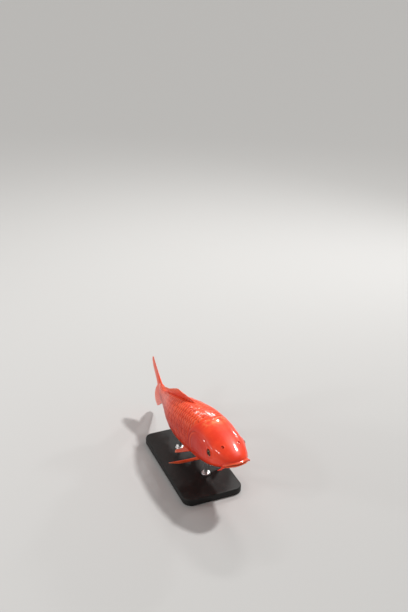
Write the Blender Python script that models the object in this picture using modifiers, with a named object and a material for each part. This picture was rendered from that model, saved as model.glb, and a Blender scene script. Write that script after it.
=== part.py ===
"""Koi carp, life size, swimming on a plain display stand.

Metres, +Z up. The fish is shaped straight, with its snout tip at y = 0 and its tail
toward +Y, then laid along a gently curved spine, tipped slightly nose-up and lifted
onto its stand. The fish's right side is toward -X.
"""

import math
from collections import namedtuple

import bmesh
import bpy
from mathutils import Matrix, Vector

# Driving dimensions, in metres.
BODY_LENGTH = 0.345  # snout tip to the root of the tail fin
HEAD_LENGTH = 0.305 * BODY_LENGTH
CUT_WIDTH = 0.0003  # the gap that parts one piece from the next
SLIVER_WIDTH = CUT_WIDTH / 10  # faces thinner than this are merged into their neighbours
NOSE_UP = 6.0  # degrees
AXIS_HEIGHT = 0.118  # height of the snout tip's level above the floor, before tipping

# Outlines of the body from the side and from above, as (place along the body, distance
# from the axis), both as shares of BODY_LENGTH.
BACK_LINE = (
    (0.0, 0.004), (0.008, 0.021), (0.03, 0.039), (0.07, 0.062), (0.12, 0.087), (0.18, 0.111),
    (0.25, 0.131), (0.34, 0.145), (0.45, 0.149), (0.57, 0.139), (0.70, 0.111), (0.81, 0.081),
    (0.90, 0.065), (0.97, 0.066), (1.0, 0.061),
)
BELLY_LINE = (
    (0.0, -0.016), (0.008, -0.025), (0.03, -0.035), (0.07, -0.051), (0.12, -0.073), (0.18, -0.096),
    (0.25, -0.113), (0.34, -0.126), (0.45, -0.132), (0.57, -0.126), (0.70, -0.103), (0.81, -0.072),
    (0.90, -0.058), (0.97, -0.061), (1.0, -0.056),
)
HALF_WIDTH = (
    (0.0, 0.026), (0.008, 0.044), (0.03, 0.067), (0.07, 0.089), (0.12, 0.104), (0.18, 0.112),
    (0.25, 0.117), (0.36, 0.118), (0.46, 0.111), (0.57, 0.097), (0.70, 0.071), (0.81, 0.046),
    (0.90, 0.031), (0.97, 0.021), (1.0, 0.011),
)
# Height of the widest place, and how square the section is (2 is an ellipse).
WIDEST_HEIGHT = ((0.0, -0.008), (0.03, -0.012), (0.12, -0.010), (0.30, 0.002), (0.60, 0.006), (1.0, 0.0))
SQUARENESS = ((0.0, 2.2), (0.10, 2.45), (0.28, 2.45), (0.60, 2.15), (1.0, 2.0))
# How far the spine turns from straight, in degrees, along the body and on into the tail fin.
SPINE_TURN = ((0.0, 5.0), (0.22, 5.0), (0.50, 11.0), (0.75, -1.0), (0.95, -4.0), (1.25, -11.0))

# How finely the body is shaped.
RING_POINTS = 30
HEAD_RINGS = 28
TRUNK_RINGS = 20
HEAD_END = 0.30  # share of BODY_LENGTH that the close rings cover
SNOUT_CROWDING = 1.6  # above 1, rings stand closer together toward the snout
SPINE_STEPS = 500
SPINE_REACH = 1.3  # share of BODY_LENGTH that the spine's curve covers, tail fin included

# Places on the head, as shares of HEAD_LENGTH: along the head, then above the axis.
EYE_PLACE = (0.45, 0.080)
EYE_RADIUS = 0.0066
EYE_SEGMENTS = 18
EYE_STANDS_OUT = 0.0016
BROW_SWELL = 0.0016
BROW_REACH = 0.018
CHEEK_PLACE = (0.80, -0.04)
CHEEK_SWELL = 0.0014
CHEEK_REACH = 0.034
FLANK_START = (0.010, 0.018)  # distances from the middle plane between which the swells set in
MOUTH_WALL = (
    (-0.10, -0.02), (0.0, -0.025), (0.10, -0.070), (0.185, -0.115), (0.30, -0.18), (0.42, -0.42),
)
COLLAR_WALL = (
    (0.86, 0.62), (0.89, 0.42), (0.94, 0.25), (0.99, 0.10), (1.01, -0.06), (0.96, -0.22),
    (0.86, -0.36), (0.74, -0.62),
)
GILL_OUTLINE = (
    (0.62, 0.19), (0.80, 0.245), (1.06, 0.21), (1.11, -0.07), (0.96, -0.31), (0.78, -0.44),
    (0.62, -0.36), (0.55, -0.10),
)
GILL_FLOOR = 0.026  # distance from the middle plane to the gill cover's inner face
TRUNK_CUTS = (0.53, 0.80)  # shares of BODY_LENGTH
WALL_REACH = 0.100  # how far a cutting wall runs to each side of the middle plane

# Fins. A fin is a row of rays; u runs from 0 at its first ray to 1 at its last.
FIN_EDGE = 0.0008  # thickness at the margin
FIN_ROOT = 0.0032  # thickness where a fin leaves the body
FIN_DEPTH = 0.005  # how far a fin's root runs under the body's surface before it is trimmed
RAY_STEPS = 5
# Fins on the middle plane: places and ray lengths are shares of BODY_LENGTH, and tilts are
# degrees above level.
DORSAL_BASE = (0.455, 0.820)
DORSAL_TILT = (20.0, 12.0)
DORSAL_LENGTH = ((0.0, 0.112), (0.07, 0.137), (0.30, 0.110), (0.55, 0.086), (1.0, 0.074))
DORSAL_LEAN = Vector((-0.007, 0.0, -0.003))  # how far the rays' tips lean over
DORSAL_RAYS = 14
ANAL_BASE = (0.755, 0.830)
ANAL_TILT = (-50.0, -30.0)
ANAL_LENGTH = ((0.0, 0.126), (0.15, 0.124), (0.50, 0.100), (1.0, 0.072))
ANAL_RAYS = 8
CAUDAL_ROOT = 0.965
CAUDAL_ROOT_HEIGHT = 0.061
CAUDAL_TILT = 36.0  # of the outermost ray; the fork's middle ray is level
CAUDAL_LENGTH = ((0.0, 0.140), (0.40, 0.198), (0.80, 0.256), (1.0, 0.234))
CAUDAL_CURL = 0.009  # how far the outermost ray's tip bends back toward the middle
CAUDAL_RAYS = 10
# Paired fins, for the left side: the middle of the root, the ways that the first ray and
# the root run, the longest ray, the root's width, and the degrees that the rays fan through.
PairedFin = namedtuple("PairedFin", "root first_ray root_line length width fan")
PAIRED_FINS = {
    "pectoral": PairedFin(
        root=Vector((0.0208, 0.1015, -0.0322)),
        first_ray=Vector((0.78, 0.56, -0.24)).normalized(),
        root_line=Vector((-0.55, 0.60, -0.60)).normalized(),
        length=0.0715,
        width=0.016,
        fan=46.0,
    ),
    "pelvic": PairedFin(
        root=Vector((0.0150, 0.1500, -0.0390)),
        first_ray=Vector((0.24, 0.88, -0.47)).normalized(),
        root_line=Vector((-0.55, 0.80, -0.24)).normalized(),
        length=0.0580,
        width=0.012,
        fan=40.0,
    ),
}
PAIRED_OUTLINE = ((0.0, 0.90), (0.20, 0.96), (0.50, 0.85), (1.0, 0.61))  # shares of the length
PAIRED_SWEEP = 0.10  # how far the rays' tips bend back, as a share of the length
PAIRED_RAYS = 8

# Barbels: kind, share of BODY_LENGTH, degrees from level round the section, length, how far
# the tip stands off sideways and how far it is lifted, both in shares of the length, then the
# radii from root to tip.
BARBELS = (
    ("short", 0.032, -14.0, 0.011, 0.50, 0.05, (0.0013, 0.0013, 0.0009, 0.0005)),
    ("long", 0.055, -36.0, 0.022, 0.24, 0.10, (0.0018, 0.0017, 0.0013, 0.0006)),
)
BARBEL_ROOT = 0.003  # how far a barbel starts under the skin before it is trimmed
# The barbel's line past its root: outward in shares of what its tip stands off, then backward
# and upward in shares of its length.
BARBEL_LINE = ((0.6, 0.0, 0.0), (0.96, 0.25, -0.24), (1.0, 0.62, -0.52))
BARBEL_FORWARD = -0.15  # how much a barbel leaves the lip forward, against outward

# The stand.
BASE_LENGTH = 0.240
BASE_WIDTH = 0.120
BASE_THICKNESS = 0.014
BASE_CORNER = 0.018
BASE_EDGE = 0.0025
ROD_RADIUS = 0.0035
ROD_PLACES = (0.37, 0.66)  # shares of BODY_LENGTH
FOOT_RADIUS = 0.009
FOOT_HEIGHT = 0.004
FOOT_CHAMFER = 0.0013
ROUND_STEPS = 24
SHARP_ANGLE = math.radians(40)

SIDES = ((-1, "right"), (1, "left"))

ORANGE_RED = (0.80, 0.085, 0.030)
CHEEK_RED = (0.78, 0.060, 0.022)
FIN_RED = (0.82, 0.130, 0.050)
EYE_BLACK = (0.012, 0.010, 0.010)
BASE_BLACK = (0.030, 0.028, 0.027)
STEEL_GREY = (0.56, 0.57, 0.58)


# ---------------------------------------------------------------- curves and the spine


def knot_slope(knots, i):
    """Slope at a knot: the harmonic mean of its two sides, so the curve never overshoots."""
    if i in (0, len(knots) - 1):
        first = max(0, i - 1)
        (x0, y0), (x1, y1) = knots[first], knots[first + 1]
        return (y1 - y0) / (x1 - x0)
    before = (knots[i][1] - knots[i - 1][1]) / (knots[i][0] - knots[i - 1][0])
    after = (knots[i + 1][1] - knots[i][1]) / (knots[i + 1][0] - knots[i][0])
    return 0.0 if before * after <= 0 else 2 * before * after / (before + after)


def curve_value(knots, place):
    """The smooth curve through the knots, read at one place."""
    if place <= knots[0][0]:
        return knots[0][1]
    if place >= knots[-1][0]:
        return knots[-1][1]
    upper = next(i for i, knot in enumerate(knots) if knot[0] >= place)
    (x0, y0), (x1, y1) = knots[upper - 1], knots[upper]
    span = x1 - x0
    u = (place - x0) / span
    leave = knot_slope(knots, upper - 1) * u * (1 - u) ** 2
    arrive = knot_slope(knots, upper) * u * u * (1 - u)
    return y0 * (1 + 2 * u) * (1 - u) ** 2 + y1 * u * u * (3 - 2 * u) + span * (leave - arrive)


def rise(value, low, high):
    """0 below low, 1 above high, and smooth between."""
    u = min(1.0, max(0.0, (value - low) / (high - low)))
    return u * u * (3 - 2 * u)


def bump(distance, reach):
    """1 at no distance, falling smoothly to 0 at the reach."""
    return 1.0 - rise(distance, 0.0, reach)


def spine_points():
    """Points of the bent spine with their turn, evenly spaced from the snout tip."""
    step = SPINE_REACH * BODY_LENGTH / SPINE_STEPS
    point = Vector((0.0, 0.0, 0.0))
    points = []
    for i in range(SPINE_STEPS + 1):
        turn = math.radians(curve_value(SPINE_TURN, i * step / BODY_LENGTH))
        points.append((point.copy(), turn))
        point += step * Vector((-math.sin(turn), math.cos(turn), 0.0))
    return points, step


SPINE, SPINE_STEP = spine_points()


def onto_spine(point):
    """Where a point of the straight fish lies once the spine is bent, tipped and lifted."""
    place = min(max(point.y / SPINE_STEP, 0.0), SPINE_STEPS - 1e-6)
    low = int(place)
    share = place - low
    start, turn = SPINE[low]
    end, next_turn = SPINE[low + 1]
    turn += (next_turn - turn) * share
    beyond = point.y - place * SPINE_STEP
    back = Vector((-math.sin(turn), math.cos(turn), 0.0))
    side = Vector((math.cos(turn), math.sin(turn), 0.0))
    bent = start.lerp(end, share) + beyond * back + point.x * side + point.z * Vector((0, 0, 1))
    tipped = Matrix.Rotation(math.radians(-NOSE_UP), 3, "X") @ bent
    return tipped + Vector((0.0, 0.0, AXIS_HEIGHT))


# ---------------------------------------------------------------- objects and cuts


def new_collection(name):
    collection = bpy.data.collections.new(name)
    bpy.context.scene.collection.children.link(collection)
    return collection


def material(name, colour, roughness, metallic=0.0):
    made = bpy.data.materials.new(name)
    made.use_nodes = True
    shader = made.node_tree.nodes["Principled BSDF"]
    shader.inputs["Base Color"].default_value = (*colour, 1.0)
    shader.inputs["Roughness"].default_value = roughness
    shader.inputs["Metallic"].default_value = metallic
    return made


def object_from(bm, name, collection):
    """A new object that takes the bmesh, with its faces turned outward."""
    bmesh.ops.recalc_face_normals(bm, faces=bm.faces)
    mesh = bpy.data.meshes.new(name)
    bm.to_mesh(mesh)
    bm.free()
    made = bpy.data.objects.new(name, mesh)
    collection.objects.link(made)
    return made


def settle_modifiers(obj):
    """Gives the object the mesh that its modifiers make, and drops them."""
    graph = bpy.context.evaluated_depsgraph_get()
    mesh = bpy.data.meshes.new_from_object(obj.evaluated_get(graph))
    obj.modifiers.clear()
    obj.data = mesh


def combine(obj, cutter, operation="DIFFERENCE"):
    boolean = obj.modifiers.new("cut", "BOOLEAN")
    boolean.operation = operation
    boolean.object = cutter
    settle_modifiers(obj)


def drop_slivers(obj):
    """Merges away the needle-thin faces that a cut leaves along its edge."""
    bm = bmesh.new()
    bm.from_mesh(obj.data)
    bmesh.ops.triangulate(bm, faces=bm.faces)
    bmesh.ops.dissolve_degenerate(bm, dist=SLIVER_WIDTH, edges=bm.edges)
    bm.to_mesh(obj.data)
    bm.free()


def loose_pieces(obj):
    """Parts an object into its separate bodies."""
    bpy.ops.object.select_all(action="DESELECT")
    obj.select_set(True)
    bpy.context.view_layer.objects.active = obj
    bpy.ops.mesh.separate(type="LOOSE")
    return list(bpy.context.selected_objects)


def middle(obj):
    return sum((vertex.co for vertex in obj.data.vertices), Vector()) / len(obj.data.vertices)


def rename(obj, name, finish):
    obj.name = name
    obj.data.name = name
    obj.data.materials.clear()
    obj.data.materials.append(finish)
    obj.data.shade_smooth()
    obj.data.set_sharp_from_angle(angle=SHARP_ANGLE)
    return obj


def hide_cutter(obj):
    obj.hide_render = True
    obj.display_type = "WIRE"
    return obj


# ---------------------------------------------------------------- the body


def body_point(place, angle, grow=0.0):
    """A point of the straight body's surface, pushed out by grow."""
    top = curve_value(BACK_LINE, place) * BODY_LENGTH
    bottom = curve_value(BELLY_LINE, place) * BODY_LENGTH
    half = curve_value(HALF_WIDTH, place) * BODY_LENGTH
    level = curve_value(WIDEST_HEIGHT, place) * BODY_LENGTH
    power = 2.0 / curve_value(SQUARENESS, place)
    across, up = math.cos(angle), math.sin(angle)
    reach = top - level if up > 0 else level - bottom
    x = half * math.copysign(abs(across) ** power, across)
    z = level + reach * math.copysign(abs(up) ** power, up)
    y = place * BODY_LENGTH
    push = grow + swell(abs(x), y, z)
    return Vector((x + push * across, y + end_growth(place, grow), z + push * up))


def end_growth(place, grow):
    """How far the two end sections move out along the body when it is grown."""
    return {0.0: -grow, 1.0: grow}.get(place, 0.0)


def swell(side, y, z):
    """How far the brow and the cheek stand out from the plain section."""
    on_flank = rise(side, *FLANK_START)
    brow = math.dist((y, z), (EYE_PLACE[0] * HEAD_LENGTH, EYE_PLACE[1] * HEAD_LENGTH))
    cheek = math.dist((y, z), (CHEEK_PLACE[0] * HEAD_LENGTH, CHEEK_PLACE[1] * HEAD_LENGTH))
    return on_flank * (BROW_SWELL * bump(brow, BROW_REACH) + CHEEK_SWELL * bump(cheek, CHEEK_REACH))


def ring_places():
    head = [HEAD_END * (i / HEAD_RINGS) ** SNOUT_CROWDING for i in range(HEAD_RINGS)]
    trunk = [HEAD_END + (1.0 - HEAD_END) * i / TRUNK_RINGS for i in range(TRUNK_RINGS + 1)]
    return head + trunk


def body_loft(name, collection, grow=0.0):
    """The whole body, lofted through its sections and closed at both ends."""
    bm = bmesh.new()
    rings = []
    for place in ring_places():
        angles = (2 * math.pi * (k + 0.5) / RING_POINTS for k in range(RING_POINTS))
        rings.append([bm.verts.new(body_point(place, angle, grow)) for angle in angles])
    for ring, following in zip(rings, rings[1:]):
        for k in range(RING_POINTS):
            after = (k + 1) % RING_POINTS
            bm.faces.new((ring[k], ring[after], following[after], following[k]))
    bm.faces.new(rings[0])
    bm.faces.new(rings[-1])
    return object_from(bm, name, collection)


def side_wall(name, line, collection):
    """A thin curved wall right across the head, along a line of its side view."""
    knots = [(i / (len(line) - 1), *point) for i, point in enumerate(line)]
    along = [(u, y) for u, y, _ in knots]
    above = [(u, z) for u, _, z in knots]
    steps = 4 * (len(line) - 1)
    bm = bmesh.new()
    columns = []
    for i in range(steps + 1):
        y = curve_value(along, i / steps) * HEAD_LENGTH
        z = curve_value(above, i / steps) * HEAD_LENGTH
        columns.append([bm.verts.new((x, y, z)) for x in (-WALL_REACH, WALL_REACH)])
    for (a, b), (c, d) in zip(columns, columns[1:]):
        bm.faces.new((a, b, d, c))
    wall = hide_cutter(object_from(bm, name, collection))
    thicken = wall.modifiers.new("thickness", "SOLIDIFY")
    thicken.thickness = CUT_WIDTH
    thicken.offset = 0.0
    return wall


def gill_box(name, side, collection):
    """A thin-walled box in the gill cover's outline, from its inner face out past the cheek."""
    curve = bpy.data.curves.new(name, "CURVE")
    curve.dimensions = "2D"
    curve.fill_mode = "BOTH"
    curve.extrude = HEAD_LENGTH / 2
    outline = curve.splines.new("BEZIER")
    outline.bezier_points.add(len(GILL_OUTLINE) - 1)
    for handle, (along, above) in zip(outline.bezier_points, GILL_OUTLINE):
        handle.co = (along * HEAD_LENGTH, above * HEAD_LENGTH, 0.0)
        handle.handle_left_type = handle.handle_right_type = "AUTO"
    outline.use_cyclic_u = True
    outline.resolution_u = 4
    guide = bpy.data.objects.new(name, curve)
    collection.objects.link(guide)
    guide.location.x = side * (GILL_FLOOR + HEAD_LENGTH / 2)
    guide.rotation_euler = (math.radians(90), 0.0, math.radians(90))
    bpy.context.view_layer.update()
    graph = bpy.context.evaluated_depsgraph_get()
    mesh = bpy.data.meshes.new_from_object(guide.evaluated_get(graph))
    mesh.transform(guide.matrix_world)
    bpy.data.objects.remove(guide)
    bm = bmesh.new()
    bm.from_mesh(mesh)
    bmesh.ops.remove_doubles(bm, verts=bm.verts, dist=CUT_WIDTH / 10)
    box = hide_cutter(object_from(bm, name, collection))
    shell = box.modifiers.new("thickness", "SOLIDIFY")
    shell.thickness = CUT_WIDTH
    shell.offset = -1.0
    return box


def cross_slab(name, place, collection):
    """A thin flat wall square across the body."""
    bm = bmesh.new()
    bmesh.ops.create_cube(bm, size=1.0)
    bmesh.ops.scale(bm, vec=(2 * WALL_REACH, CUT_WIDTH, 2 * WALL_REACH), verts=bm.verts)
    bmesh.ops.translate(bm, vec=(0.0, place * BODY_LENGTH, 0.0), verts=bm.verts)
    return hide_cutter(object_from(bm, name, collection))


def eye_centre(side):
    """The eyeball's middle, set so that the ball stands a little proud of the brow."""
    place = EYE_PLACE[0] * HEAD_LENGTH / BODY_LENGTH
    height = EYE_PLACE[1] * HEAD_LENGTH
    quarter = [body_point(place, math.radians(degrees)) for degrees in range(90)]
    skin = min(quarter, key=lambda point: abs(point.z - height))
    return Vector((side * (skin.x + EYE_STANDS_OUT - EYE_RADIUS), skin.y, height))


def ball(name, centre, radius, collection):
    bm = bmesh.new()
    bmesh.ops.create_uvsphere(
        bm, u_segments=EYE_SEGMENTS, v_segments=EYE_SEGMENTS // 2 + 1, radius=radius,
    )
    bmesh.ops.rotate(bm, cent=(0, 0, 0), matrix=Matrix.Rotation(math.pi / 2, 3, "Y"), verts=bm.verts)
    bmesh.ops.translate(bm, vec=centre, verts=bm.verts)
    return object_from(bm, name, collection)


def make_body(koi, cutters, skin, cheek, eye_black):
    """The body whole, then parted by thin cuts into head, gill covers, jaw, trunk and tail."""
    body = body_loft("body", koi)
    made = []
    for side, word in SIDES:
        centre = eye_centre(side)
        combine(body, hide_cutter(ball(f"socket_{word}", centre, EYE_RADIUS + CUT_WIDTH, cutters)))
        made.append(rename(ball(f"eye_{word}", centre, EYE_RADIUS, koi), f"eye_{word}", eye_black))

    combine(body, side_wall("collar_wall", COLLAR_WALL, cutters))
    head, trunk = sorted(loose_pieces(body), key=lambda piece: middle(piece).y)
    for side, word in SIDES:
        combine(head, gill_box(f"gill_box_{word}", side, cutters))
    right, head, left = sorted(loose_pieces(head), key=lambda piece: middle(piece).x)
    combine(head, side_wall("mouth_wall", MOUTH_WALL, cutters))
    jaw, head = sorted(loose_pieces(head), key=lambda piece: middle(piece).z)
    made.append(rename(right, "gill_cover_right", cheek))
    made.append(rename(left, "gill_cover_left", cheek))
    made.append(rename(jaw, "lower_jaw", cheek))
    made.append(rename(head, "head", skin))

    for i, place in enumerate(TRUNK_CUTS):
        combine(trunk, cross_slab(f"trunk_slab_{i}", place, cutters))
    lengths = sorted(loose_pieces(trunk), key=lambda piece: middle(piece).y)
    for piece, name in zip(lengths, ("trunk_front", "trunk_rear", "tail")):
        made.append(rename(piece, name, skin))
    return made


# ---------------------------------------------------------------- the fins


def fin_sheet(name, rays, trim, koi, finish):
    """A fin from its rays: a sheet, thick at the root and thin at the margin, trimmed to the body."""
    bm = bmesh.new()
    grid = [[bm.verts.new(point) for point in ray] for ray in rays]
    for ray, following in zip(grid, grid[1:]):
        for i in range(len(ray) - 1):
            bm.faces.new((ray[i], ray[i + 1], following[i + 1], following[i]))
    fin = object_from(bm, name, koi)
    weights = fin.vertex_groups.new(name="root")
    columns = len(rays[0])
    for index in range(len(fin.data.vertices)):
        weights.add([index], 1.0 - (index % columns) / (columns - 1), "REPLACE")
    thicken = fin.modifiers.new("thickness", "SOLIDIFY")
    thicken.thickness = FIN_ROOT
    thicken.offset = 0.0
    thicken.vertex_group = "root"
    thicken.thickness_vertex_group = FIN_EDGE / FIN_ROOT
    settle_modifiers(fin)
    combine(fin, trim)
    drop_slivers(fin)
    return rename(fin, name, finish)


def ray_points(root, direction, length, bend=Vector()):
    """Points along one fin ray, which bends by so much at its tip."""
    shares = [i / RAY_STEPS for i in range(RAY_STEPS + 1)]
    return [root + direction * length * share + bend * share * share for share in shares]


def backward(up_degrees):
    """The direction in the middle plane that points back and up by an angle."""
    return Vector((0.0, math.cos(math.radians(up_degrees)), math.sin(math.radians(up_degrees))))


def along(base, u):
    """The value that a share of the way between two ends gives."""
    return base[0] + (base[1] - base[0]) * u


def dorsal_rays():
    """Laid back and leaning over: a long front spine, then shorter rays with a hollow margin."""
    rays = []
    for i in range(DORSAL_RAYS + 1):
        u = i / DORSAL_RAYS
        place = along(DORSAL_BASE, u)
        tilt = along(DORSAL_TILT, u)
        sink = FIN_DEPTH / math.sin(math.radians(tilt))
        root = Vector((0.0, place, curve_value(BACK_LINE, place))) * BODY_LENGTH
        length = curve_value(DORSAL_LENGTH, u) * BODY_LENGTH + sink
        direction = backward(tilt)
        rays.append(ray_points(root - direction * sink, direction, length, DORSAL_LEAN))
    return rays


def anal_rays():
    """Short based and swept back, its front edge the longest."""
    rays = []
    for i in range(ANAL_RAYS + 1):
        u = i / ANAL_RAYS
        place = along(ANAL_BASE, u)
        tilt = along(ANAL_TILT, u)
        sink = FIN_DEPTH / math.sin(math.radians(-tilt))
        root = Vector((0.0, place, curve_value(BELLY_LINE, place))) * BODY_LENGTH
        length = curve_value(ANAL_LENGTH, u) * BODY_LENGTH + sink
        direction = backward(tilt)
        rays.append(ray_points(root - direction * sink, direction, length))
    return rays


def caudal_rays(up):
    """One lobe of the forked tail fin, from the fork's short middle ray out to the long edge."""
    rays = []
    for i in range(CAUDAL_RAYS + 1):
        u = i / CAUDAL_RAYS
        root_height = up * (CUT_WIDTH + CAUDAL_ROOT_HEIGHT * BODY_LENGTH * u)
        root = Vector((0.0, CAUDAL_ROOT * BODY_LENGTH, root_height))
        length = curve_value(CAUDAL_LENGTH, u) * BODY_LENGTH
        bend = Vector((0.0, 0.0, -up * CAUDAL_CURL * u))
        rays.append(ray_points(root, backward(up * CAUDAL_TILT * u), length, bend))
    return rays


def paired_rays(side, fin):
    """A paired fin: rays that start side by side along the root and open like a fan."""
    rays = []
    for i in range(PAIRED_RAYS + 1):
        u = i / PAIRED_RAYS
        turn = math.radians(fin.fan * u)
        direction = (fin.first_ray * math.cos(turn) + fin.root_line * math.sin(turn)).normalized()
        start = fin.root + fin.root_line * fin.width * (u - 0.5)
        length = fin.length * curve_value(PAIRED_OUTLINE, u)
        ray = ray_points(start, direction, length, Vector((0.0, PAIRED_SWEEP * fin.length, 0.0)))
        rays.append([point * Vector((side, 1.0, 1.0)) for point in ray])
    return rays


def make_fins(koi, trim, finish):
    """The unpaired fins on the middle plane, then the paired fins on each flank."""
    made = [
        fin_sheet("dorsal_fin", dorsal_rays(), trim, koi, finish),
        fin_sheet("anal_fin", anal_rays(), trim, koi, finish),
        fin_sheet("caudal_fin_upper", caudal_rays(1), trim, koi, finish),
        fin_sheet("caudal_fin_lower", caudal_rays(-1), trim, koi, finish),
    ]
    for side, word in SIDES:
        for kind, fin in PAIRED_FINS.items():
            made.append(fin_sheet(f"{kind}_fin_{word}", paired_rays(side, fin), trim, koi, finish))
    return made


# ---------------------------------------------------------------- the barbels


def barbel(name, points, radii, trim, koi, finish):
    """A tapering feeler: a tube along a smooth line, trimmed where it leaves the lip."""
    curve = bpy.data.curves.new(name, "CURVE")
    curve.dimensions = "3D"
    curve.bevel_depth = 1.0
    curve.bevel_resolution = 2
    curve.use_fill_caps = True
    curve.resolution_u = 3
    spline = curve.splines.new("BEZIER")
    spline.bezier_points.add(len(points) - 1)
    for handle, point, radius in zip(spline.bezier_points, points, radii):
        handle.co = point
        handle.radius = radius
        handle.handle_left_type = handle.handle_right_type = "AUTO"
    guide = bpy.data.objects.new(name, curve)
    koi.objects.link(guide)
    graph = bpy.context.evaluated_depsgraph_get()
    mesh = bpy.data.meshes.new_from_object(guide.evaluated_get(graph))
    bpy.data.objects.remove(guide)
    bm = bmesh.new()
    bm.from_mesh(mesh)
    bmesh.ops.remove_doubles(bm, verts=bm.verts, dist=CUT_WIDTH / 10)
    feeler = object_from(bm, name, koi)
    combine(feeler, trim)
    return rename(feeler, name, finish)


def barbel_line(side, place, degrees, length, off, lift):
    """From under the lip's skin straight out, then curving down and back for the barbel's length."""
    angle = math.radians(degrees)
    root = body_point(place, angle)
    outward = Vector((math.cos(angle), BARBEL_FORWARD, math.sin(angle))).normalized()
    points = [root - outward * BARBEL_ROOT]
    for out, back, up in BARBEL_LINE:
        drop = Vector((0.0, back, up + lift if back else up))
        points.append(root + (outward * out * off + drop) * length)
    return [point * Vector((side, 1.0, 1.0)) for point in points]


def make_barbels(koi, trim, finish):
    """A short pair at the upper lip and a longer pair at the mouth's corners."""
    made = []
    for side, word in SIDES:
        for kind, place, angle, length, off, lift, radii in BARBELS:
            line = barbel_line(side, place, angle, length, off, lift)
            made.append(barbel(f"barbel_{kind}_{word}", line, radii, trim, koi, finish))
    return made


# ---------------------------------------------------------------- the stand


def make_base(koi, centre_x, centre_y, finish):
    """A flat slab with round corners and softened edges."""
    bm = bmesh.new()
    bmesh.ops.create_cube(bm, size=1.0)
    bmesh.ops.scale(bm, vec=(BASE_WIDTH, BASE_LENGTH, BASE_THICKNESS), verts=bm.verts)
    bmesh.ops.translate(bm, vec=(centre_x, centre_y, BASE_THICKNESS / 2), verts=bm.verts)
    upright = [e for e in bm.edges if abs(e.verts[0].co.z - e.verts[1].co.z) > BASE_THICKNESS / 2]
    bmesh.ops.bevel(bm, geom=upright, offset=BASE_CORNER, segments=7, profile=0.5, affect="EDGES")
    base = object_from(bm, "stand_base", koi)
    soften = base.modifiers.new("edge", "BEVEL")
    soften.width = BASE_EDGE
    soften.segments = 2
    soften.limit_method = "ANGLE"
    soften.angle_limit = SHARP_ANGLE
    return rename(base, "stand_base", finish)


def make_rod(name, place, koi, trim, finish):
    """A turned rod with a round foot, its top trimmed to the belly that it carries."""
    belly = onto_spine(Vector((0.0, place, curve_value(BELLY_LINE, place))) * BODY_LENGTH)
    low = BASE_THICKNESS + CUT_WIDTH
    high = belly.z + 3 * ROD_RADIUS
    foot_top = low + FOOT_HEIGHT
    profile = (
        (0.0, high), (ROD_RADIUS, high), (ROD_RADIUS, foot_top), (FOOT_RADIUS - FOOT_CHAMFER, foot_top),
        (FOOT_RADIUS, foot_top - FOOT_CHAMFER), (FOOT_RADIUS, low), (0.0, low),
    )
    bm = bmesh.new()
    points = [bm.verts.new((x, 0.0, z)) for x, z in profile]
    for a, b in zip(points, points[1:]):
        bm.edges.new((a, b))
    mesh = bpy.data.meshes.new(name)
    bm.to_mesh(mesh)
    bm.free()
    rod = bpy.data.objects.new(name, mesh)
    koi.objects.link(rod)
    turned = rod.modifiers.new("turned", "SCREW")
    turned.steps = turned.render_steps = ROUND_STEPS
    turned.use_merge_vertices = True
    turned.merge_threshold = 0.00005
    settle_modifiers(rod)
    rod.data.transform(Matrix.Translation((belly.x, belly.y, 0.0)))
    combine(rod, trim)
    return rename(rod, name, finish)


# ---------------------------------------------------------------- the whole model


def main():
    for obj in list(bpy.data.objects):
        bpy.data.objects.remove(obj)
    koi = new_collection("koi_carp")
    cutters = new_collection("cutters")
    skin = material("orange_red_skin", ORANGE_RED, 0.30)
    cheek = material("cheek_skin", CHEEK_RED, 0.28)
    fin_skin = material("fin_skin", FIN_RED, 0.38)
    eye_black = material("eye_black", EYE_BLACK, 0.08)
    base_black = material("base_black", BASE_BLACK, 0.35)
    steel = material("brushed_steel", STEEL_GREY, 0.30, 1.0)

    trim = hide_cutter(body_loft("trim", cutters, CUT_WIDTH))
    fish = make_body(koi, cutters, skin, cheek, eye_black)
    fish += make_fins(koi, trim, fin_skin)
    fish += make_barbels(koi, trim, cheek)
    for piece in [*fish, trim]:
        for vertex in piece.data.vertices:
            vertex.co = onto_spine(vertex.co)

    carried = onto_spine(Vector((0.0, sum(ROD_PLACES) / 2 * BODY_LENGTH, 0.0)))
    stand = [make_base(koi, carried.x, carried.y, base_black)]
    for word, place in zip(("front", "rear"), ROD_PLACES):
        stand.append(make_rod(f"stand_rod_{word}", place, koi, trim, steel))

    corners = [vertex.co for piece in fish + stand for vertex in piece.data.vertices]
    centre_x = (min(c.x for c in corners) + max(c.x for c in corners)) / 2
    centre_y = (min(c.y for c in corners) + max(c.y for c in corners)) / 2
    for piece in [*fish, *stand]:
        piece.data.transform(Matrix.Translation((-centre_x, -centre_y, 0.0)))


main()
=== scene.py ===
"""Looks of a life-size koi carp on a plain display stand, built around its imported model.

Metres, +Z up, in the frame's own place. The fish is shaped straight, its snout tip at y = 0
and its tail toward +Y, and every piece is then laid along the same bent spine. Unless a
comment says otherwise, a place along the fish is a share of the body's length, from snout to
tail root, and a place round it is a share of the way down from the back to the belly.
"""

import math

import bmesh
import bpy
import numpy as np
from mathutils import Matrix, Vector
from mathutils.kdtree import KDTree


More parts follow.
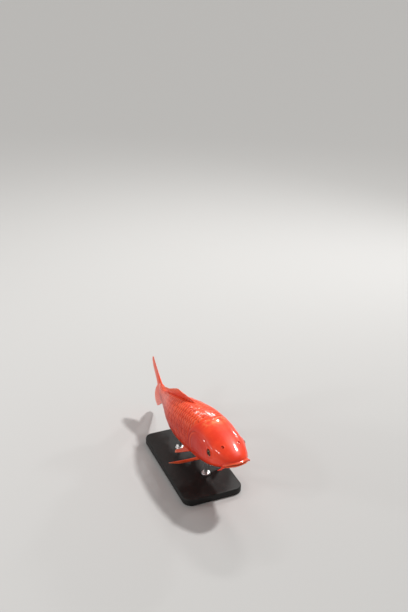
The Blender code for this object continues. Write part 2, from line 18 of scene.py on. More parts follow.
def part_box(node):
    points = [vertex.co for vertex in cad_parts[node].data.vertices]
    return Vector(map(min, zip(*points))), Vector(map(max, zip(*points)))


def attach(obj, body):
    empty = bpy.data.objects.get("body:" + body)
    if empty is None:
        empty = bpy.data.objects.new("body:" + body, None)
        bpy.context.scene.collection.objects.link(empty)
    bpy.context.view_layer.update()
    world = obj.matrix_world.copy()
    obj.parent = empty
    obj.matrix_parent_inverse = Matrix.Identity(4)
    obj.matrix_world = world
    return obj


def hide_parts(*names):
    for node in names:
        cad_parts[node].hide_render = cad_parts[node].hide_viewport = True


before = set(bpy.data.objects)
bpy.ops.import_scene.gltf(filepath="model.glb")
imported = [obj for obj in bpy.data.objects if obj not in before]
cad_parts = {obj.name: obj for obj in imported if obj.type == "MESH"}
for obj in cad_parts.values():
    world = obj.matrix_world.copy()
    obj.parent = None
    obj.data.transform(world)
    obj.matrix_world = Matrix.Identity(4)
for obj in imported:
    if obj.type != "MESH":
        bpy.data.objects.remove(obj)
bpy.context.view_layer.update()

# ------------------------------------------------------------------ the skin
# One skin runs over the head, gill covers, jaw and trunk, and lies under the scales by their
# depth. On the bare head it carries the lips, nostrils, eye rims and the gill covers' free
# edges. It is moist and orange-red, paler at the lips and belly.

# The body in it is a thick spindle, deepest just ahead of the dorsal fin, with a broad blunt
# head. The spine carries it in one shallow bend, with the nose up a little.

BODY_LENGTH = 0.345
HEAD_LENGTH = 0.305 * BODY_LENGTH
NOSE_UP = 6.0  # degrees
AXIS_HEIGHT = 0.118
CARRIED_AT = 0.515  # the place that lies over the middle of the stand

# Places with heights over the axis and half widths, in shares of the body's length.
BACK_LINE = (
    (0.0, 0.004), (0.008, 0.021), (0.03, 0.039), (0.07, 0.062), (0.12, 0.087), (0.18, 0.111),
    (0.25, 0.131), (0.34, 0.145), (0.45, 0.149), (0.57, 0.139), (0.70, 0.111), (0.81, 0.081),
    (0.90, 0.065), (0.97, 0.066), (1.0, 0.061),
)
BELLY_LINE = (
    (0.0, -0.016), (0.008, -0.025), (0.03, -0.035), (0.07, -0.051), (0.12, -0.073), (0.18, -0.096),
    (0.25, -0.113), (0.34, -0.126), (0.45, -0.132), (0.57, -0.126), (0.70, -0.103), (0.81, -0.072),
    (0.90, -0.058), (0.97, -0.061), (1.0, -0.056),
)
HALF_WIDTH = (
    (0.0, 0.026), (0.008, 0.044), (0.03, 0.067), (0.07, 0.089), (0.12, 0.104), (0.18, 0.112),
    (0.25, 0.117), (0.36, 0.118), (0.46, 0.111), (0.57, 0.097), (0.70, 0.071), (0.81, 0.046),
    (0.90, 0.031), (0.97, 0.021), (1.0, 0.011),
)
WIDEST_HEIGHT = ((0.0, -0.008), (0.03, -0.012), (0.12, -0.010), (0.30, 0.002), (0.60, 0.006), (1.0, 0.0))
SQUARENESS = ((0.0, 2.2), (0.10, 2.45), (0.28, 2.45), (0.60, 2.15), (1.0, 2.0))  # 2 is an ellipse
SPINE_TURN = ((0.0, 5.0), (0.22, 5.0), (0.50, 11.0), (0.75, -1.0), (0.95, -4.0), (1.25, -11.0))  # degrees
SPINE_REACH = 1.3
SPINE_STEPS = 500

# Places on the head: distance from the snout and height over the axis, in head lengths.
EYE_PLACE = (0.45, 0.080)
CHEEK_PLACE = (0.80, -0.04)
SWELLINGS = ((EYE_PLACE, 0.0016, 0.018), (CHEEK_PLACE, 0.0014, 0.034))  # middle, height, radius
SWELLING_SIDES = (0.010, 0.018)  # they begin and are full at these distances from the middle plane


def through(knots, places):
    """The smooth line through (place, value) knots, read at many places. It never overshoots."""
    at, values = np.array(knots, float).T
    rates = np.diff(values) / np.diff(at)
    product = rates[:-1] * rates[1:]
    together = np.where(product > 0, rates[:-1] + rates[1:], 1.0)
    middle = np.where(product > 0, 2 * product / together, 0.0)
    slopes = np.concatenate((rates[:1], middle, rates[-1:]))
    places = np.clip(places, at[0], at[-1])
    i = np.clip(np.searchsorted(at, places) - 1, 0, len(at) - 2)
    span = at[i + 1] - at[i]
    u = (places - at[i]) / span
    leave = slopes[i] * u * (1 - u) ** 2
    arrive = slopes[i + 1] * u * u * (1 - u)
    level = values[i] * (1 + 2 * u) * (1 - u) ** 2 + values[i + 1] * u * u * (3 - 2 * u)
    return level + span * (leave - arrive)


def rise(value, low, high):
    """0 below low, 1 above high, and smooth between."""
    u = np.clip((value - low) / (high - low), 0.0, 1.0)
    return u * u * (3 - 2 * u)


def hump(distance, reach):
    """1 at no distance, falling smoothly to 0 at the reach."""
    return 1.0 - rise(np.abs(distance), 0.0, reach)


def section_point(place, angle):
    """Points of the straight body, by place along it and angle up from level on its left side."""
    top, bottom, half, level = (
        through(line, place) * BODY_LENGTH for line in (BACK_LINE, BELLY_LINE, HALF_WIDTH, WIDEST_HEIGHT)
    )
    power = 2.0 / through(SQUARENESS, place)
    across, up = np.cos(angle), np.sin(angle)
    reach = np.where(up > 0, top - level, level - bottom)
    x = half * np.sign(across) * np.abs(across) ** power
    z = level + reach * np.sign(up) * np.abs(up) ** power
    y = place * BODY_LENGTH + 0 * angle
    swell = sum(
        height * hump(np.hypot(y - ahead * HEAD_LENGTH, z - above * HEAD_LENGTH), radius)
        for (ahead, above), height, radius in SWELLINGS
    )
    push = rise(np.abs(x), *SWELLING_SIDES) * swell
    return np.stack((x + push * across, y, z + push * up), axis=-1)


def girth_tables(rows=300, columns=181):
    """For even places, the angles of points spaced evenly from back to belly, and the half girth."""
    places = np.linspace(0.0, 1.0, rows)
    angles = np.radians(np.linspace(90.0, -90.0, 4 * columns - 3))
    outlines = section_point(places[:, None], angles[None, :])
    steps = np.linalg.norm(np.diff(outlines, axis=1), axis=2)
    lengths = np.hstack((np.zeros((rows, 1)), np.cumsum(steps, axis=1)))
    shares = np.linspace(0.0, 1.0, columns)
    even = [np.interp(shares * row[-1], row, angles) for row in lengths]
    return np.array(even), lengths[:, -1]


ANGLES, HALF_GIRTHS = girth_tables()


def half_girth(place):
    """Length of the skin from the middle of the back to the middle of the belly."""
    return np.interp(place, np.linspace(0.0, 1.0, len(HALF_GIRTHS)), HALF_GIRTHS)


def angle_at(place, down):
    """The section's angle a share of the way down from the back (0) to the belly (1)."""
    rows, columns = ANGLES.shape
    i = np.clip(place, 0.0, 1.0) * (rows - 1)
    j = np.clip(down, 0.0, 1.0) * (columns - 1)
    i0 = np.minimum(i.astype(int), rows - 2)
    j0 = np.minimum(j.astype(int), columns - 2)
    u, v = i - i0, j - j0
    near = ANGLES[i0, j0] * (1 - v) + ANGLES[i0, j0 + 1] * v
    far = ANGLES[i0 + 1, j0] * (1 - v) + ANGLES[i0 + 1, j0 + 1] * v
    return near * (1 - u) + far * u


def on_body(place, round_):
    """Points of the straight body. round_ runs from -1 (belly) up the right side over 0 (back)
    and down the left side to 1 (belly).
    """
    place, round_ = np.broadcast_arrays(np.asarray(place, float), np.asarray(round_, float))
    round_ = (round_ + 1.0) % 2.0 - 1.0
    points = section_point(np.clip(place, 0.0, 1.0), angle_at(place, np.abs(round_)))
    points[..., 0] *= np.where(round_ < 0, -1.0, 1.0)
    return points


def direction(ways):
    """Vectors of length 1 that point the same ways."""
    return ways / np.linalg.norm(ways, axis=-1, keepdims=True)


def off_body(place, round_, lift):
    """Points above (or, with a lift below 0, under) the straight body's surface."""
    step = 0.002  # between the points that give the surface's slope
    place = np.clip(place, 0.0, 1.0)
    along = on_body(np.minimum(place + step, 1.0), round_) - on_body(np.maximum(place - step, 0.0), round_)
    down = on_body(place, round_ + step) - on_body(place, round_ - step)
    outward = direction(np.cross(down, along))
    return on_body(place, round_) + outward * np.asarray(lift)[..., None]


def point_off(place, round_, lift=0.0):
    """One point of the straight body's surface, or off it by a lift."""
    return off_body(np.array([place]), np.array([round_]), np.array([lift]))[0]


def spine_line():
    """Points and turns of the bent spine, evenly spaced from the snout tip."""
    step = SPINE_REACH * BODY_LENGTH / SPINE_STEPS
    turns = np.radians(through(SPINE_TURN, np.arange(SPINE_STEPS + 1) * step / BODY_LENGTH))
    moves = step * np.stack((-np.sin(turns), np.cos(turns), 0 * turns), axis=-1)
    points = np.vstack((np.zeros(3), np.cumsum(moves, axis=0)[:-1]))
    return points, turns, step


SPINE, TURNS, SPINE_STEP = spine_line()


def bend(points):
    """Where points of the straight fish lie once the spine is bent, tipped and lifted."""
    points = np.asarray(points, float)
    places = np.clip(points[..., 1] / SPINE_STEP, 0.0, SPINE_STEPS - 1e-6)
    low = places.astype(int)
    share = (places - low)[..., None]
    turn = TURNS[low] + (TURNS[low + 1] - TURNS[low]) * share[..., 0]
    beyond = points[..., 1] - places * SPINE_STEP
    back = np.stack((-np.sin(turn), np.cos(turn), 0 * turn), axis=-1)
    side = np.stack((np.cos(turn), np.sin(turn), 0 * turn), axis=-1)
    spine = SPINE[low] * (1 - share) + SPINE[low + 1] * share
    laid = spine + beyond[..., None] * back + points[..., :1] * side
    laid[..., 2] += points[..., 2]
    tip = np.array(Matrix.Rotation(math.radians(-NOSE_UP), 3, "X"))
    return laid @ tip.T + np.array((0.0, 0.0, AXIS_HEIGHT))


base_low, base_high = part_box("stand_base")
carried = bend(np.array((0.0, CARRIED_AT * BODY_LENGTH, 0.0)))
SHIFT = np.array((*((base_low + base_high) / 2)[:2], 0.0)) - np.array((carried[0], carried[1], 0.0))


def in_place(points):
    """Points of the straight fish, laid where the frame holds the fish."""
    return bend(points) + SHIFT


# The features of the head are drawn on a chart of the skin: metres along the body, and metres
# down from the back. Each eye, nostril and gill cover has a middle and a rim there. The folds
# beside a rim are (height, distance of the fold's middle from the rim, reach), and so are the
# shades and tints along it, with a strength instead of a height.

EYE_OPENING = 0.0054
EYE_RIM = (0.00062, 0.0014, 0.0024)
EYE_CREASE = (-0.0009, 0.0, 0.0011)
EYE_HOLLOW = (-0.00035, 0.0052, 0.0016)
EYE_SHADE = (0.75, 0.0, 0.0010)
SOCKET_DEPTH = 0.0042

NOSTRIL_PLACE = (0.285, 0.0170)  # head lengths from the snout, metres from the middle plane
NOSTRIL_RADIUS = 0.0021
NOSTRIL_RIM = (0.00045, 0.0, 0.0016)
NOSTRIL_DEPTH = 0.0016

# Head lengths from the snout and over the axis.
GILL_MIDDLE = (0.84, -0.06)
GILL_OUTLINE = (
    (0.62, 0.20), (0.80, 0.245), (1.02, 0.225), (1.11, 0.06), (1.10, -0.09), (0.985, -0.27),
)
# The outline goes on under the throat, by head lengths from the snout and shares down.
GILL_UNDER = ((0.87, 0.86), (0.76, 0.95), (0.62, 0.93), (0.53, 0.66), (0.54, 0.42))
COVER_EDGE = (0.00095, -0.0012, 0.0060)
COVER_SWELL = (0.00045, -0.011, 0.009)
COVER_STEP = (-0.0017, 0.0, 0.0050)
COVER_SHADE = (0.9, 0.0003, 0.0007)
COVER_PALE = (1.0, -0.0022, 0.0030)
CHEEK_GROOVE = (-0.00040, 0.0, 0.0026)
CHEEK_RIDGE_AT = 0.62  # share of the way from the cover's middle to its rim
CHEEK_RIDGE = (0.00030, 0.0, 0.0040)
CHEEK_DEEP = (0.6, -0.020, 0.022)
PLATE_LINE = (-0.00028, 0.0, 0.022)  # height in metres, the others in shares of the rim's distance
FAN_HEIGHT = 0.00002

NAPE_RIDGE = (0.0006, 0.0016, 0.0042)
# Painted sheen: a golden patch behind the nape's ridge.
NAPE_SHEEN = (1.0, 0.006, 0.018)
NAPE_ENDS = (0.10, 0.24)  # shares down between which the nape's ridge fades

# Where the scales begin: (share down, head lengths from the snout).
COAT_FRONT = (
    (0.0, 0.885), (0.10, 0.90), (0.20, 0.95), (0.28, 1.03), (0.36, 1.11), (0.46, 1.155), (0.60, 1.145),
    (0.72, 1.07), (0.84, 0.97), (0.93, 0.91), (1.0, 0.88),
)


def share_down(place, height):
    """How far down from the back the body's skin is at a height, at one place."""
    shares = np.linspace(0.0, 1.0, 400)
    heights = on_body(place, shares)[:, 2]
    return float(np.interp(-height, -heights, shares))


def share_across(place, across):
    """How far down from the back the upper skin is at a distance from the middle plane."""
    shares = np.linspace(0.0, 0.42, 300)
    widths = on_body(place, shares)[:, 0]
    return float(np.interp(across, widths, shares))


def from_centre(along, below, centre):
    """Distance and direction (0 is back, a quarter turn is down) over the skin from a centre."""
    along, below = along - centre[0], below - centre[1]
    return np.hypot(along, below), np.arctan2(below, along)


def drawn_in(along, below, centre, rim, band, reach):
    """The skin's grid with its lines drawn in to a rim, so that the rim's edge comes out clean."""
    radius, turn = from_centre(along, below, centre)
    edge = rim(turn)
    off = radius - edge
    tight = 0.14  # share of its width that the band keeps
    inside = off * tight
    kept = tight * band + (np.abs(off) - band) * (reach - tight * band) / (reach - band)
    moved = np.where(np.abs(off) < band, inside, np.sign(off) * kept)
    moved = np.where(np.abs(off) < reach, moved, off)
    near = np.where(radius > 1e-9, radius, 1.0)
    factor = np.where(radius > 1e-9, (edge + moved) / near, 1.0)
    return centre[0] + (along - centre[0]) * factor, centre[1] + (below - centre[1]) * factor


def chart(place, down):
    """Metres along the body and metres down from the back."""
    return place * BODY_LENGTH, down * half_girth(place)


def chart_point(ahead, down):
    """A place on the chart, by head lengths from the snout and the share down."""
    return np.array(chart(np.array(ahead * HEAD_LENGTH / BODY_LENGTH), np.array(down)), float)


def fold(off, height, middle, reach):
    """A rounded ridge, or with a height below 0 a groove, that ends at its reach."""
    return height * hump(off - middle, reach)


def bell(off, height, middle, width):
    """A ridge or groove that fades out softly."""
    return height * np.exp(-(((off - middle) / width) ** 2))


eye_place = EYE_PLACE[0] * HEAD_LENGTH / BODY_LENGTH
eye_down = share_down(eye_place, EYE_PLACE[1] * HEAD_LENGTH)
eye_spot = chart_point(EYE_PLACE[0], eye_down)
nostril_place = NOSTRIL_PLACE[0] * HEAD_LENGTH / BODY_LENGTH
nostril_down = share_across(nostril_place, NOSTRIL_PLACE[1])
nostril_spot = chart_point(NOSTRIL_PLACE[0], nostril_down)


def gill_point(ahead, above):
    """A place on the chart, by head lengths from the snout and over the axis."""
    return chart_point(ahead, share_down(ahead * HEAD_LENGTH / BODY_LENGTH, above * HEAD_LENGTH))


gill_spot = gill_point(*GILL_MIDDLE)


def gill_rim_knots():
    """The gill cover's edge as (direction, distance) from its middle, all the way round."""
    spots = [gill_point(*spot) for spot in GILL_OUTLINE] + [chart_point(*spot) for spot in GILL_UNDER]
    polar = sorted(
        (float(turn), float(radius)) for radius, turn in (from_centre(*spot, gill_spot) for spot in spots)
    )
    before = (polar[-1][0] - 2 * math.pi, polar[-1][1])
    after = (polar[0][0] + 2 * math.pi, polar[0][1])
    return [before, *polar, after]


GILL_RIM = gill_rim_knots()


def eye_rim(turn):
    """Each rim is a distance from its middle, by direction."""
    return EYE_OPENING + 0 * turn


def nostril_rim(turn):
    return NOSTRIL_RADIUS * (1.0 + 0.30 * np.cos(turn - 0.5) ** 2)


def gill_rim(turn):
    return through(GILL_RIM, turn)


def gill_freedom(turn):
    """1 along the cover's free rear and lower edge, 0 along the cheek."""
    return rise(np.cos(turn - 0.55), -0.40, 0.25)


def gill_bones(radius, turn, rim):
    """The line between the cover's upper and lower plates, and the fan of ridges on the upper."""
    share = radius / rim
    seam = 0.60 + 0.16 * np.cos(turn - 2.2)
    lower = rise(np.cos(turn - 1.45), 0.10, 0.55)
    line = lower * bell(share - seam, *PLATE_LINE)
    wave = np.sin(23.0 * turn + 2.0 * share) + 0.7 * np.sin(37.0 * turn - 3.0 * share)
    fan = FAN_HEIGHT * wave * rise(share, 0.15, 0.45) * (1.0 - rise(share, 0.80, 0.95))
    return line + fan * (1.0 - 0.7 * lower)


# The mouth is closed. Its slit starts a little under the snout's tip, runs back and down over
# both cheeks, and has a rolled lip above and below.

MOUTH_LINE = ((0.0, -0.0026), (0.0086, -0.0066), (0.0146, -0.0104), (0.022, -0.0165))  # metres
MOUTH_REACH = 0.024  # how far back the slit's curve is followed
MOUTH_ENDS = (0.0125, 0.0185)  # the lips fade out between these distances from the snout
SOFT_FOLDS_END = (0.020, 0.030)
SLIT_HEIGHT = -0.0026
SLIT_HALF_WIDTH = 0.0030  # of the straight middle, on the snout's dome
SLIT_PLACES = 40  # along a cheek
SLIT_POINTS = 1200
SNOUT_STEPS = 12
SNOUT_DOME = 0.0012
SLIT_CUT = (-0.0021, 0.0, 0.00042)
SLIT_SHADE = (1.0, 0.0, 0.0012)
UPPER_LIP = 0.0056  # from the slit to the groove behind the lip
LOWER_LIP = 0.0050
LIP_BEND = 0.002  # the mouth's line turns evenly round the front over about this much
# The lips' own folds lie at shares of the way from the slit to the groove.
LIP_ROLL = (0.00125, 0.42, 0.47)
LIP_GROOVE = (-0.0007, 1.0, 0.21)
LIP_PALE = (1.0, 0.36, 0.60)


def mouth_height(ahead):
    """The slit's height over the axis at a distance from the snout."""
    ahead = np.maximum(ahead, 0.0)
    return through(MOUTH_LINE, np.hypot(ahead, LIP_BEND) - LIP_BEND)


def run_along(line):
    """How far along a line of points each of them lies."""
    return np.concatenate(([0.0], np.cumsum(np.linalg.norm(np.diff(line, axis=0), axis=1))))


def slit_tree():
    """The mouth's slit as close points, from the middle of the snout back along both cheeks."""
    down = np.linspace(0.0, 1.0, SLIT_POINTS + 1)
    side = []
    for place in np.linspace(0.0, MOUTH_REACH / BODY_LENGTH, SLIT_PLACES):
        points = on_body(place, down)
        over = points[:, 2] - mouth_height(points[:, 1])
        last = int(np.argmax(over < 0)) - 1
        share = over[last] / (over[last] - over[last + 1])
        side.append(points[last] * (1.0 - share) + points[last + 1] * share)
    snout = []
    for share in np.linspace(1.0, 0.0, SNOUT_STEPS, endpoint=False):
        spot = side[0] * (1.0 - share) + np.array((SLIT_HALF_WIDTH, 0.0, SLIT_HEIGHT)) * share
        spot[1] -= SNOUT_DOME * (1.0 - (1.0 - share) ** 2)
        snout.append(spot)
    line = np.array([snout[0] * (0.0, 1.0, 1.0)] + snout + side)
    run = run_along(line)
    fine = np.linspace(0.0, run[-1], SLIT_POINTS)
    line = np.stack([np.interp(fine, run, line[:, axis]) for axis in range(3)], axis=-1)
    tree = KDTree(len(line))
    for number, point in enumerate(line):
        tree.insert(point, number)
    tree.balance()
    return tree


slit = slit_tree()


def from_slit(points):
    """How far each point lies from the mouth's slit, on either side of the head."""
    far = np.full(points.shape[:-1], 1.0)
    near = points[..., 1] < SOFT_FOLDS_END[1]
    mirrored = points[near]
    mirrored[:, 0] = np.abs(mirrored[:, 0])
    far[near] = [slit.find(point)[2] for point in mirrored]
    return far


def mouth_lift(points):
    """How far slit, lips and soft folds lift the skin, with the slit's shade and the pale lips."""
    ahead, height = points[..., 1], points[..., 2]
    far = from_slit(points)
    lip = 1.0 - rise(ahead, *MOUTH_ENDS)
    soft = 1.0 - rise(ahead, *SOFT_FOLDS_END)
    full = far / np.where(height > mouth_height(ahead), UPPER_LIP, LOWER_LIP)
    lift = lip * (bell(far, *SLIT_CUT) + fold(full, *LIP_ROLL)) + soft * bell(full, *LIP_GROOVE)
    return lift, lip * fold(far, *SLIT_SHADE), lip * fold(full, *LIP_PALE)


def coat_front(down):
    """Metres from the snout to the first scale."""
    return through(COAT_FRONT, down) * HEAD_LENGTH


def flank_share(down):
    """1 on the middle of the flank, which is painted a darker red as shade, 0 on the back and on the belly.
    """
    return rise(down, 0.20, 0.46) * (1.0 - rise(down, 0.70, 0.92))


def belly_share(down):
    """1 on the pale middle of the belly, 0 from the flank up."""
    return rise(down, 0.66, 0.97)


def head_lift(place, down, points):
    """How far the skin stands off the plain body on the head, with the marks that colour it."""
    along, below = chart(place, down)
    lift, shade, lips = mouth_lift(points)

    radius, turn = from_centre(along, below, eye_spot)
    off = radius - eye_rim(turn)
    orbit = fold(off, *EYE_RIM) + fold(off, *EYE_CREASE) + bell(off, *EYE_HOLLOW)
    lift += np.where(off < 0, -SOCKET_DEPTH, orbit)
    shade = np.maximum(shade, fold(off, *EYE_SHADE))

    radius, turn = from_centre(along, below, nostril_spot)
    off = radius - nostril_rim(turn)
    lift += np.where(off < 0, -NOSTRIL_DEPTH, fold(off, *NOSTRIL_RIM))
    shade = np.maximum(shade, off < 0)

    radius, turn = from_centre(along, below, gill_spot)
    rim = gill_rim(turn)
    off = radius - rim
    free = gill_freedom(turn)
    cover = fold(off, *COVER_EDGE) + fold(off, *COVER_SWELL)
    lift += free * np.where(off < 0, cover, fold(off, *COVER_STEP))
    lift += (1.0 - free) * (bell(off, *CHEEK_GROOVE) + bell(radius - CHEEK_RIDGE_AT * rim, *CHEEK_RIDGE))
    lift += gill_bones(radius, turn, rim)
    shade = np.maximum(shade, free * bell(off, *COVER_SHADE))

    ahead = coat_front(down) - along
    on_top = 1.0 - rise(down, *NAPE_ENDS)
    lift += fold(ahead, *NAPE_RIDGE) * on_top
    return lift, {
        "shade": shade,
        "lips": lips,
        "rim": free * fold(off, *COVER_PALE) * (off < 0),
        "cheek": fold(off, *CHEEK_DEEP),
        # Painted sheen: a golden patch on the nape.
        "nape_sheen": fold(ahead, *NAPE_SHEEN) * on_top,
    }


# The skin is a grid of rows from snout to tail, closest on the head. Its lines are drawn in to
# each feature's rim, so that the rim's edge comes out clean, and both its ends are capped.

COAT_DEPTH = 0.0009
COAT_SLOPE = 0.0045  # how far behind the scales' front the coat's full depth is reached
SHADED_FLANK_STARTS = (0.10, 0.30)  # places between which the flank's painted shade comes in
ROUND_COLUMNS = 288
CAP_ROWS = 12
HEAD_ROWS = 168
TRUNK_ROWS = 72
TAIL_ROWS = 6
HEAD_SPAN = 0.345  # the close rows end here
SNOUT_CROWDING = 1.2
TAIL_CAP = 0.010
TAIL_CAP_HEIGHT = 0.94  # share of the last ring's height
# Middle, rim, width of the band that is packed close, and how far its lines are drawn from.
RIMS = (
    (eye_spot, eye_rim, 0.0009, 0.0040),
    (nostril_spot, nostril_rim, 0.0007, 0.0017),
    (gill_spot, gill_rim, 0.0009, 0.0042),
)


def skin_rows():
    """Places of the rows from snout to tail, close together on the head."""
    head = HEAD_SPAN * (np.arange(HEAD_ROWS) / HEAD_ROWS) ** SNOUT_CROWDING
    trunk = HEAD_SPAN + (1.0 - HEAD_SPAN) * np.arange(TRUNK_ROWS + 1) / TRUNK_ROWS
    return np.concatenate((head, trunk))


def round_columns():
    """Each column's side (1 left, -1 right) and its share down."""
    round_ = np.linspace(-1.0, 1.0, ROUND_COLUMNS + 1)
    return np.sign(round_), np.abs(round_)


def skin_grid():
    """Places and shares round the body for the skin's crossings, drawn in to each feature's rim."""
    side, down = round_columns()
    place, down = np.meshgrid(skin_rows(), down, indexing="ij")
    along, below = chart(place, down)
    for centre, rim, band, reach in RIMS:
        moved = drawn_in(along, below, centre, rim, band, reach)
        open_ = rise(place * BODY_LENGTH, 0.004, 0.010) * rise(down, 0.0, 0.05)
        open_ = open_ * (1.0 - rise(down, 0.93, 0.99))
        along = along + (moved[0] - along) * open_
        below = below + (moved[1] - below) * open_
    place = np.clip(along / BODY_LENGTH, 0.0, 1.0)
    down = np.clip(below / half_girth(place), 0.0, 1.0)
    return place, np.where(side < 0, -down, down)


def vectors(x, y, z):
    """Points from arrays or single numbers of their parts."""
    return np.stack(np.broadcast_arrays(x, y, z), axis=-1)


def snout_cap(ring):
    """Rows that close the snout: the first ring drawn in to the line of the mouth's slit."""
    side, down = round_columns()
    line = vectors(side * SLIT_HALF_WIDTH * np.sin(np.pi * down), 0.0, SLIT_HEIGHT)
    share = 1.0 - np.arange(CAP_ROWS)[:, None, None] / CAP_ROWS
    points = ring * (1.0 - share) + line * share
    points[..., 1] -= SNOUT_DOME * (1.0 - (1.0 - share[..., 0]) ** 2)
    return points


def tail_cap(ring):
    """Rows that close the tail's root: the last ring drawn in to an upright line."""
    down = round_columns()[1]
    top, bottom = ring[:, 2].max(), ring[:, 2].min()
    heights = (top + bottom) / 2 + (top - bottom) / 2 * np.cos(np.pi * down) * TAIL_CAP_HEIGHT
    line = vectors(0.0, ring[:, 1] + TAIL_CAP, heights)
    share = np.arange(1, TAIL_ROWS + 1)[:, None, None] / TAIL_ROWS
    points = ring * (1.0 - share) + line * share
    points[..., 0] = ring[:, 0] * np.sqrt(1.0 - share[..., 0] ** 2)
    return points


def skin_points():
    """The skin's crossings in rows from the snout's cap to the tail's, with their marks."""
    place, round_ = skin_grid()
    plain = on_body(place, round_)
    down = np.abs(round_)
    lift, marks = head_lift(place, down, plain)
    past = place * BODY_LENGTH - coat_front(down)
    lift -= COAT_DEPTH * rise(past, 0.0, COAT_SLOPE)
    body = off_body(place, round_, lift)
    body[:, [0, -1], 0] = 0.0

    snout = snout_cap(plain[0])
    snout_lift, cut, lips = mouth_lift(snout)
    outward = off_body(place[0], round_[0], np.ones(len(round_[0]))) - plain[0]
    outward[[0, -1], 0] = 0.0
    share = np.arange(CAP_ROWS)[:, None, None] / CAP_ROWS
    outward = direction(outward * share + np.array((0.0, -1.0, 0.0)) * (1.0 - share))
    snout += outward * snout_lift[..., None]
    tail = tail_cap(body[-1])

    marks["belly"] = belly_share(down)
    # Painted shade: the flank's middle is marked to be coloured darker red.
    marks["flank"] = flank_share(down) * rise(place, *SHADED_FLANK_STARTS)
    snout_marks = {"shade": cut, "lips": lips}
    blank_snout, blank_tail = np.zeros(snout.shape[:2]), np.zeros(tail.shape[:2])
    joined = {
        name: np.vstack((snout_marks.get(name, blank_snout), values, blank_tail))
        for name, values in marks.items()
    }
    return np.vstack((snout, body, tail)), joined


def woven(points, marks=None, weld=2e-6):
    """A closed skin: a grid with its crossings laid at the points, its seam and ends welded."""
    rows, columns = points.shape[:2]
    bm = bmesh.new()
    bm.loops.layers.uv.new("OFBake")
    bmesh.ops.create_grid(bm, x_segments=columns - 1, y_segments=rows - 1, size=0.5, calc_uvs=True)
    for name, values in (marks or {}).items():
        layer = bm.verts.layers.float.new(name)
        for vertex, value in zip(bm.verts, values.reshape(-1).tolist()):
            vertex[layer] = value
    for vertex, point in zip(bm.verts, points.reshape(-1, 3).tolist()):
        vertex.co = point
    bmesh.ops.remove_doubles(bm, verts=bm.verts, dist=weld)
    bmesh.ops.dissolve_degenerate(bm, edges=bm.edges, dist=weld)
    bmesh.ops.recalc_face_normals(bm, faces=bm.faces)
    return bm


def uv_window(bm, low, high):
    """Moves the bake map of a piece into its own window of the square."""
    bake = bm.loops.layers.uv["OFBake"]
    for face in bm.faces:
        for loop in face.loops:
            u, v = loop[bake].uv
            loop[bake].uv = (low[0] + (high[0] - low[0]) * u, low[1] + (high[1] - low[1]) * v)


def mesh_from(bm):
    """A finished mesh of what was modelled."""
    mesh = bpy.data.meshes.new("mesh")
    bm.to_mesh(mesh)
    bm.free()
    return mesh


def join_on(bm, more):
    """Adds a second mesh to the first."""
    mesh = mesh_from(more)
    bm.from_mesh(mesh)
    bpy.data.meshes.remove(mesh)


def add_object(name, data):
    made = bpy.data.objects.new(name, data)
    bpy.context.scene.collection.objects.link(made)
    return made


def add_piece(name, mesh, finish, nodes=(), crease=None):
    """A smooth piece that rides on the frame and stands for its nodes. A crease keeps edges sharp."""
    mesh.name = name
    mesh.shade_smooth()
    if crease:
        mesh.set_sharp_from_angle(angle=crease)
    mesh.materials.append(finish.material)
    made = add_object(name, mesh)
    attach(made, "root")
    if nodes:
        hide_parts(*nodes)


# The skin's finish is a wet, slightly see-through red with a soft mottle and a fine grain. Its colour also
# holds painted shade, darker red on the flank and dark in the mouth's slit, the nostrils, round the eyes and
# along the gill covers' free edges, and a painted golden sheen on the nape.


class Wire:
    """A socket of a finish. Sums on it add the Math nodes that work them out."""

    def __init__(self, finish, socket):
        self.finish = finish
        self.socket = socket

    def math(self, operation, *values):
        return self.finish.node("ShaderNodeMath", {"operation": operation}, dict(enumerate(values)))

    def __add__(self, other):
        return self.math("ADD", self, other)

    def __radd__(self, other):
        return self.math("ADD", other, self)

    def __sub__(self, other):
        return self.math("SUBTRACT", self, other)

    def __rsub__(self, other):
        return self.math("SUBTRACT", other, self)

    def __mul__(self, other):
        return self.math("MULTIPLY", self, other)

    def __rmul__(self, other):
        return self.math("MULTIPLY", other, self)

    def above(self, low, high):
        """0 where the value is under low, 1 where it is over high, and smooth between."""
        limits = {"Value": self, "From Min": low, "From Max": high}
        return self.finish.node("ShaderNodeMapRange", {"interpolation_type": "SMOOTHSTEP"}, limits)


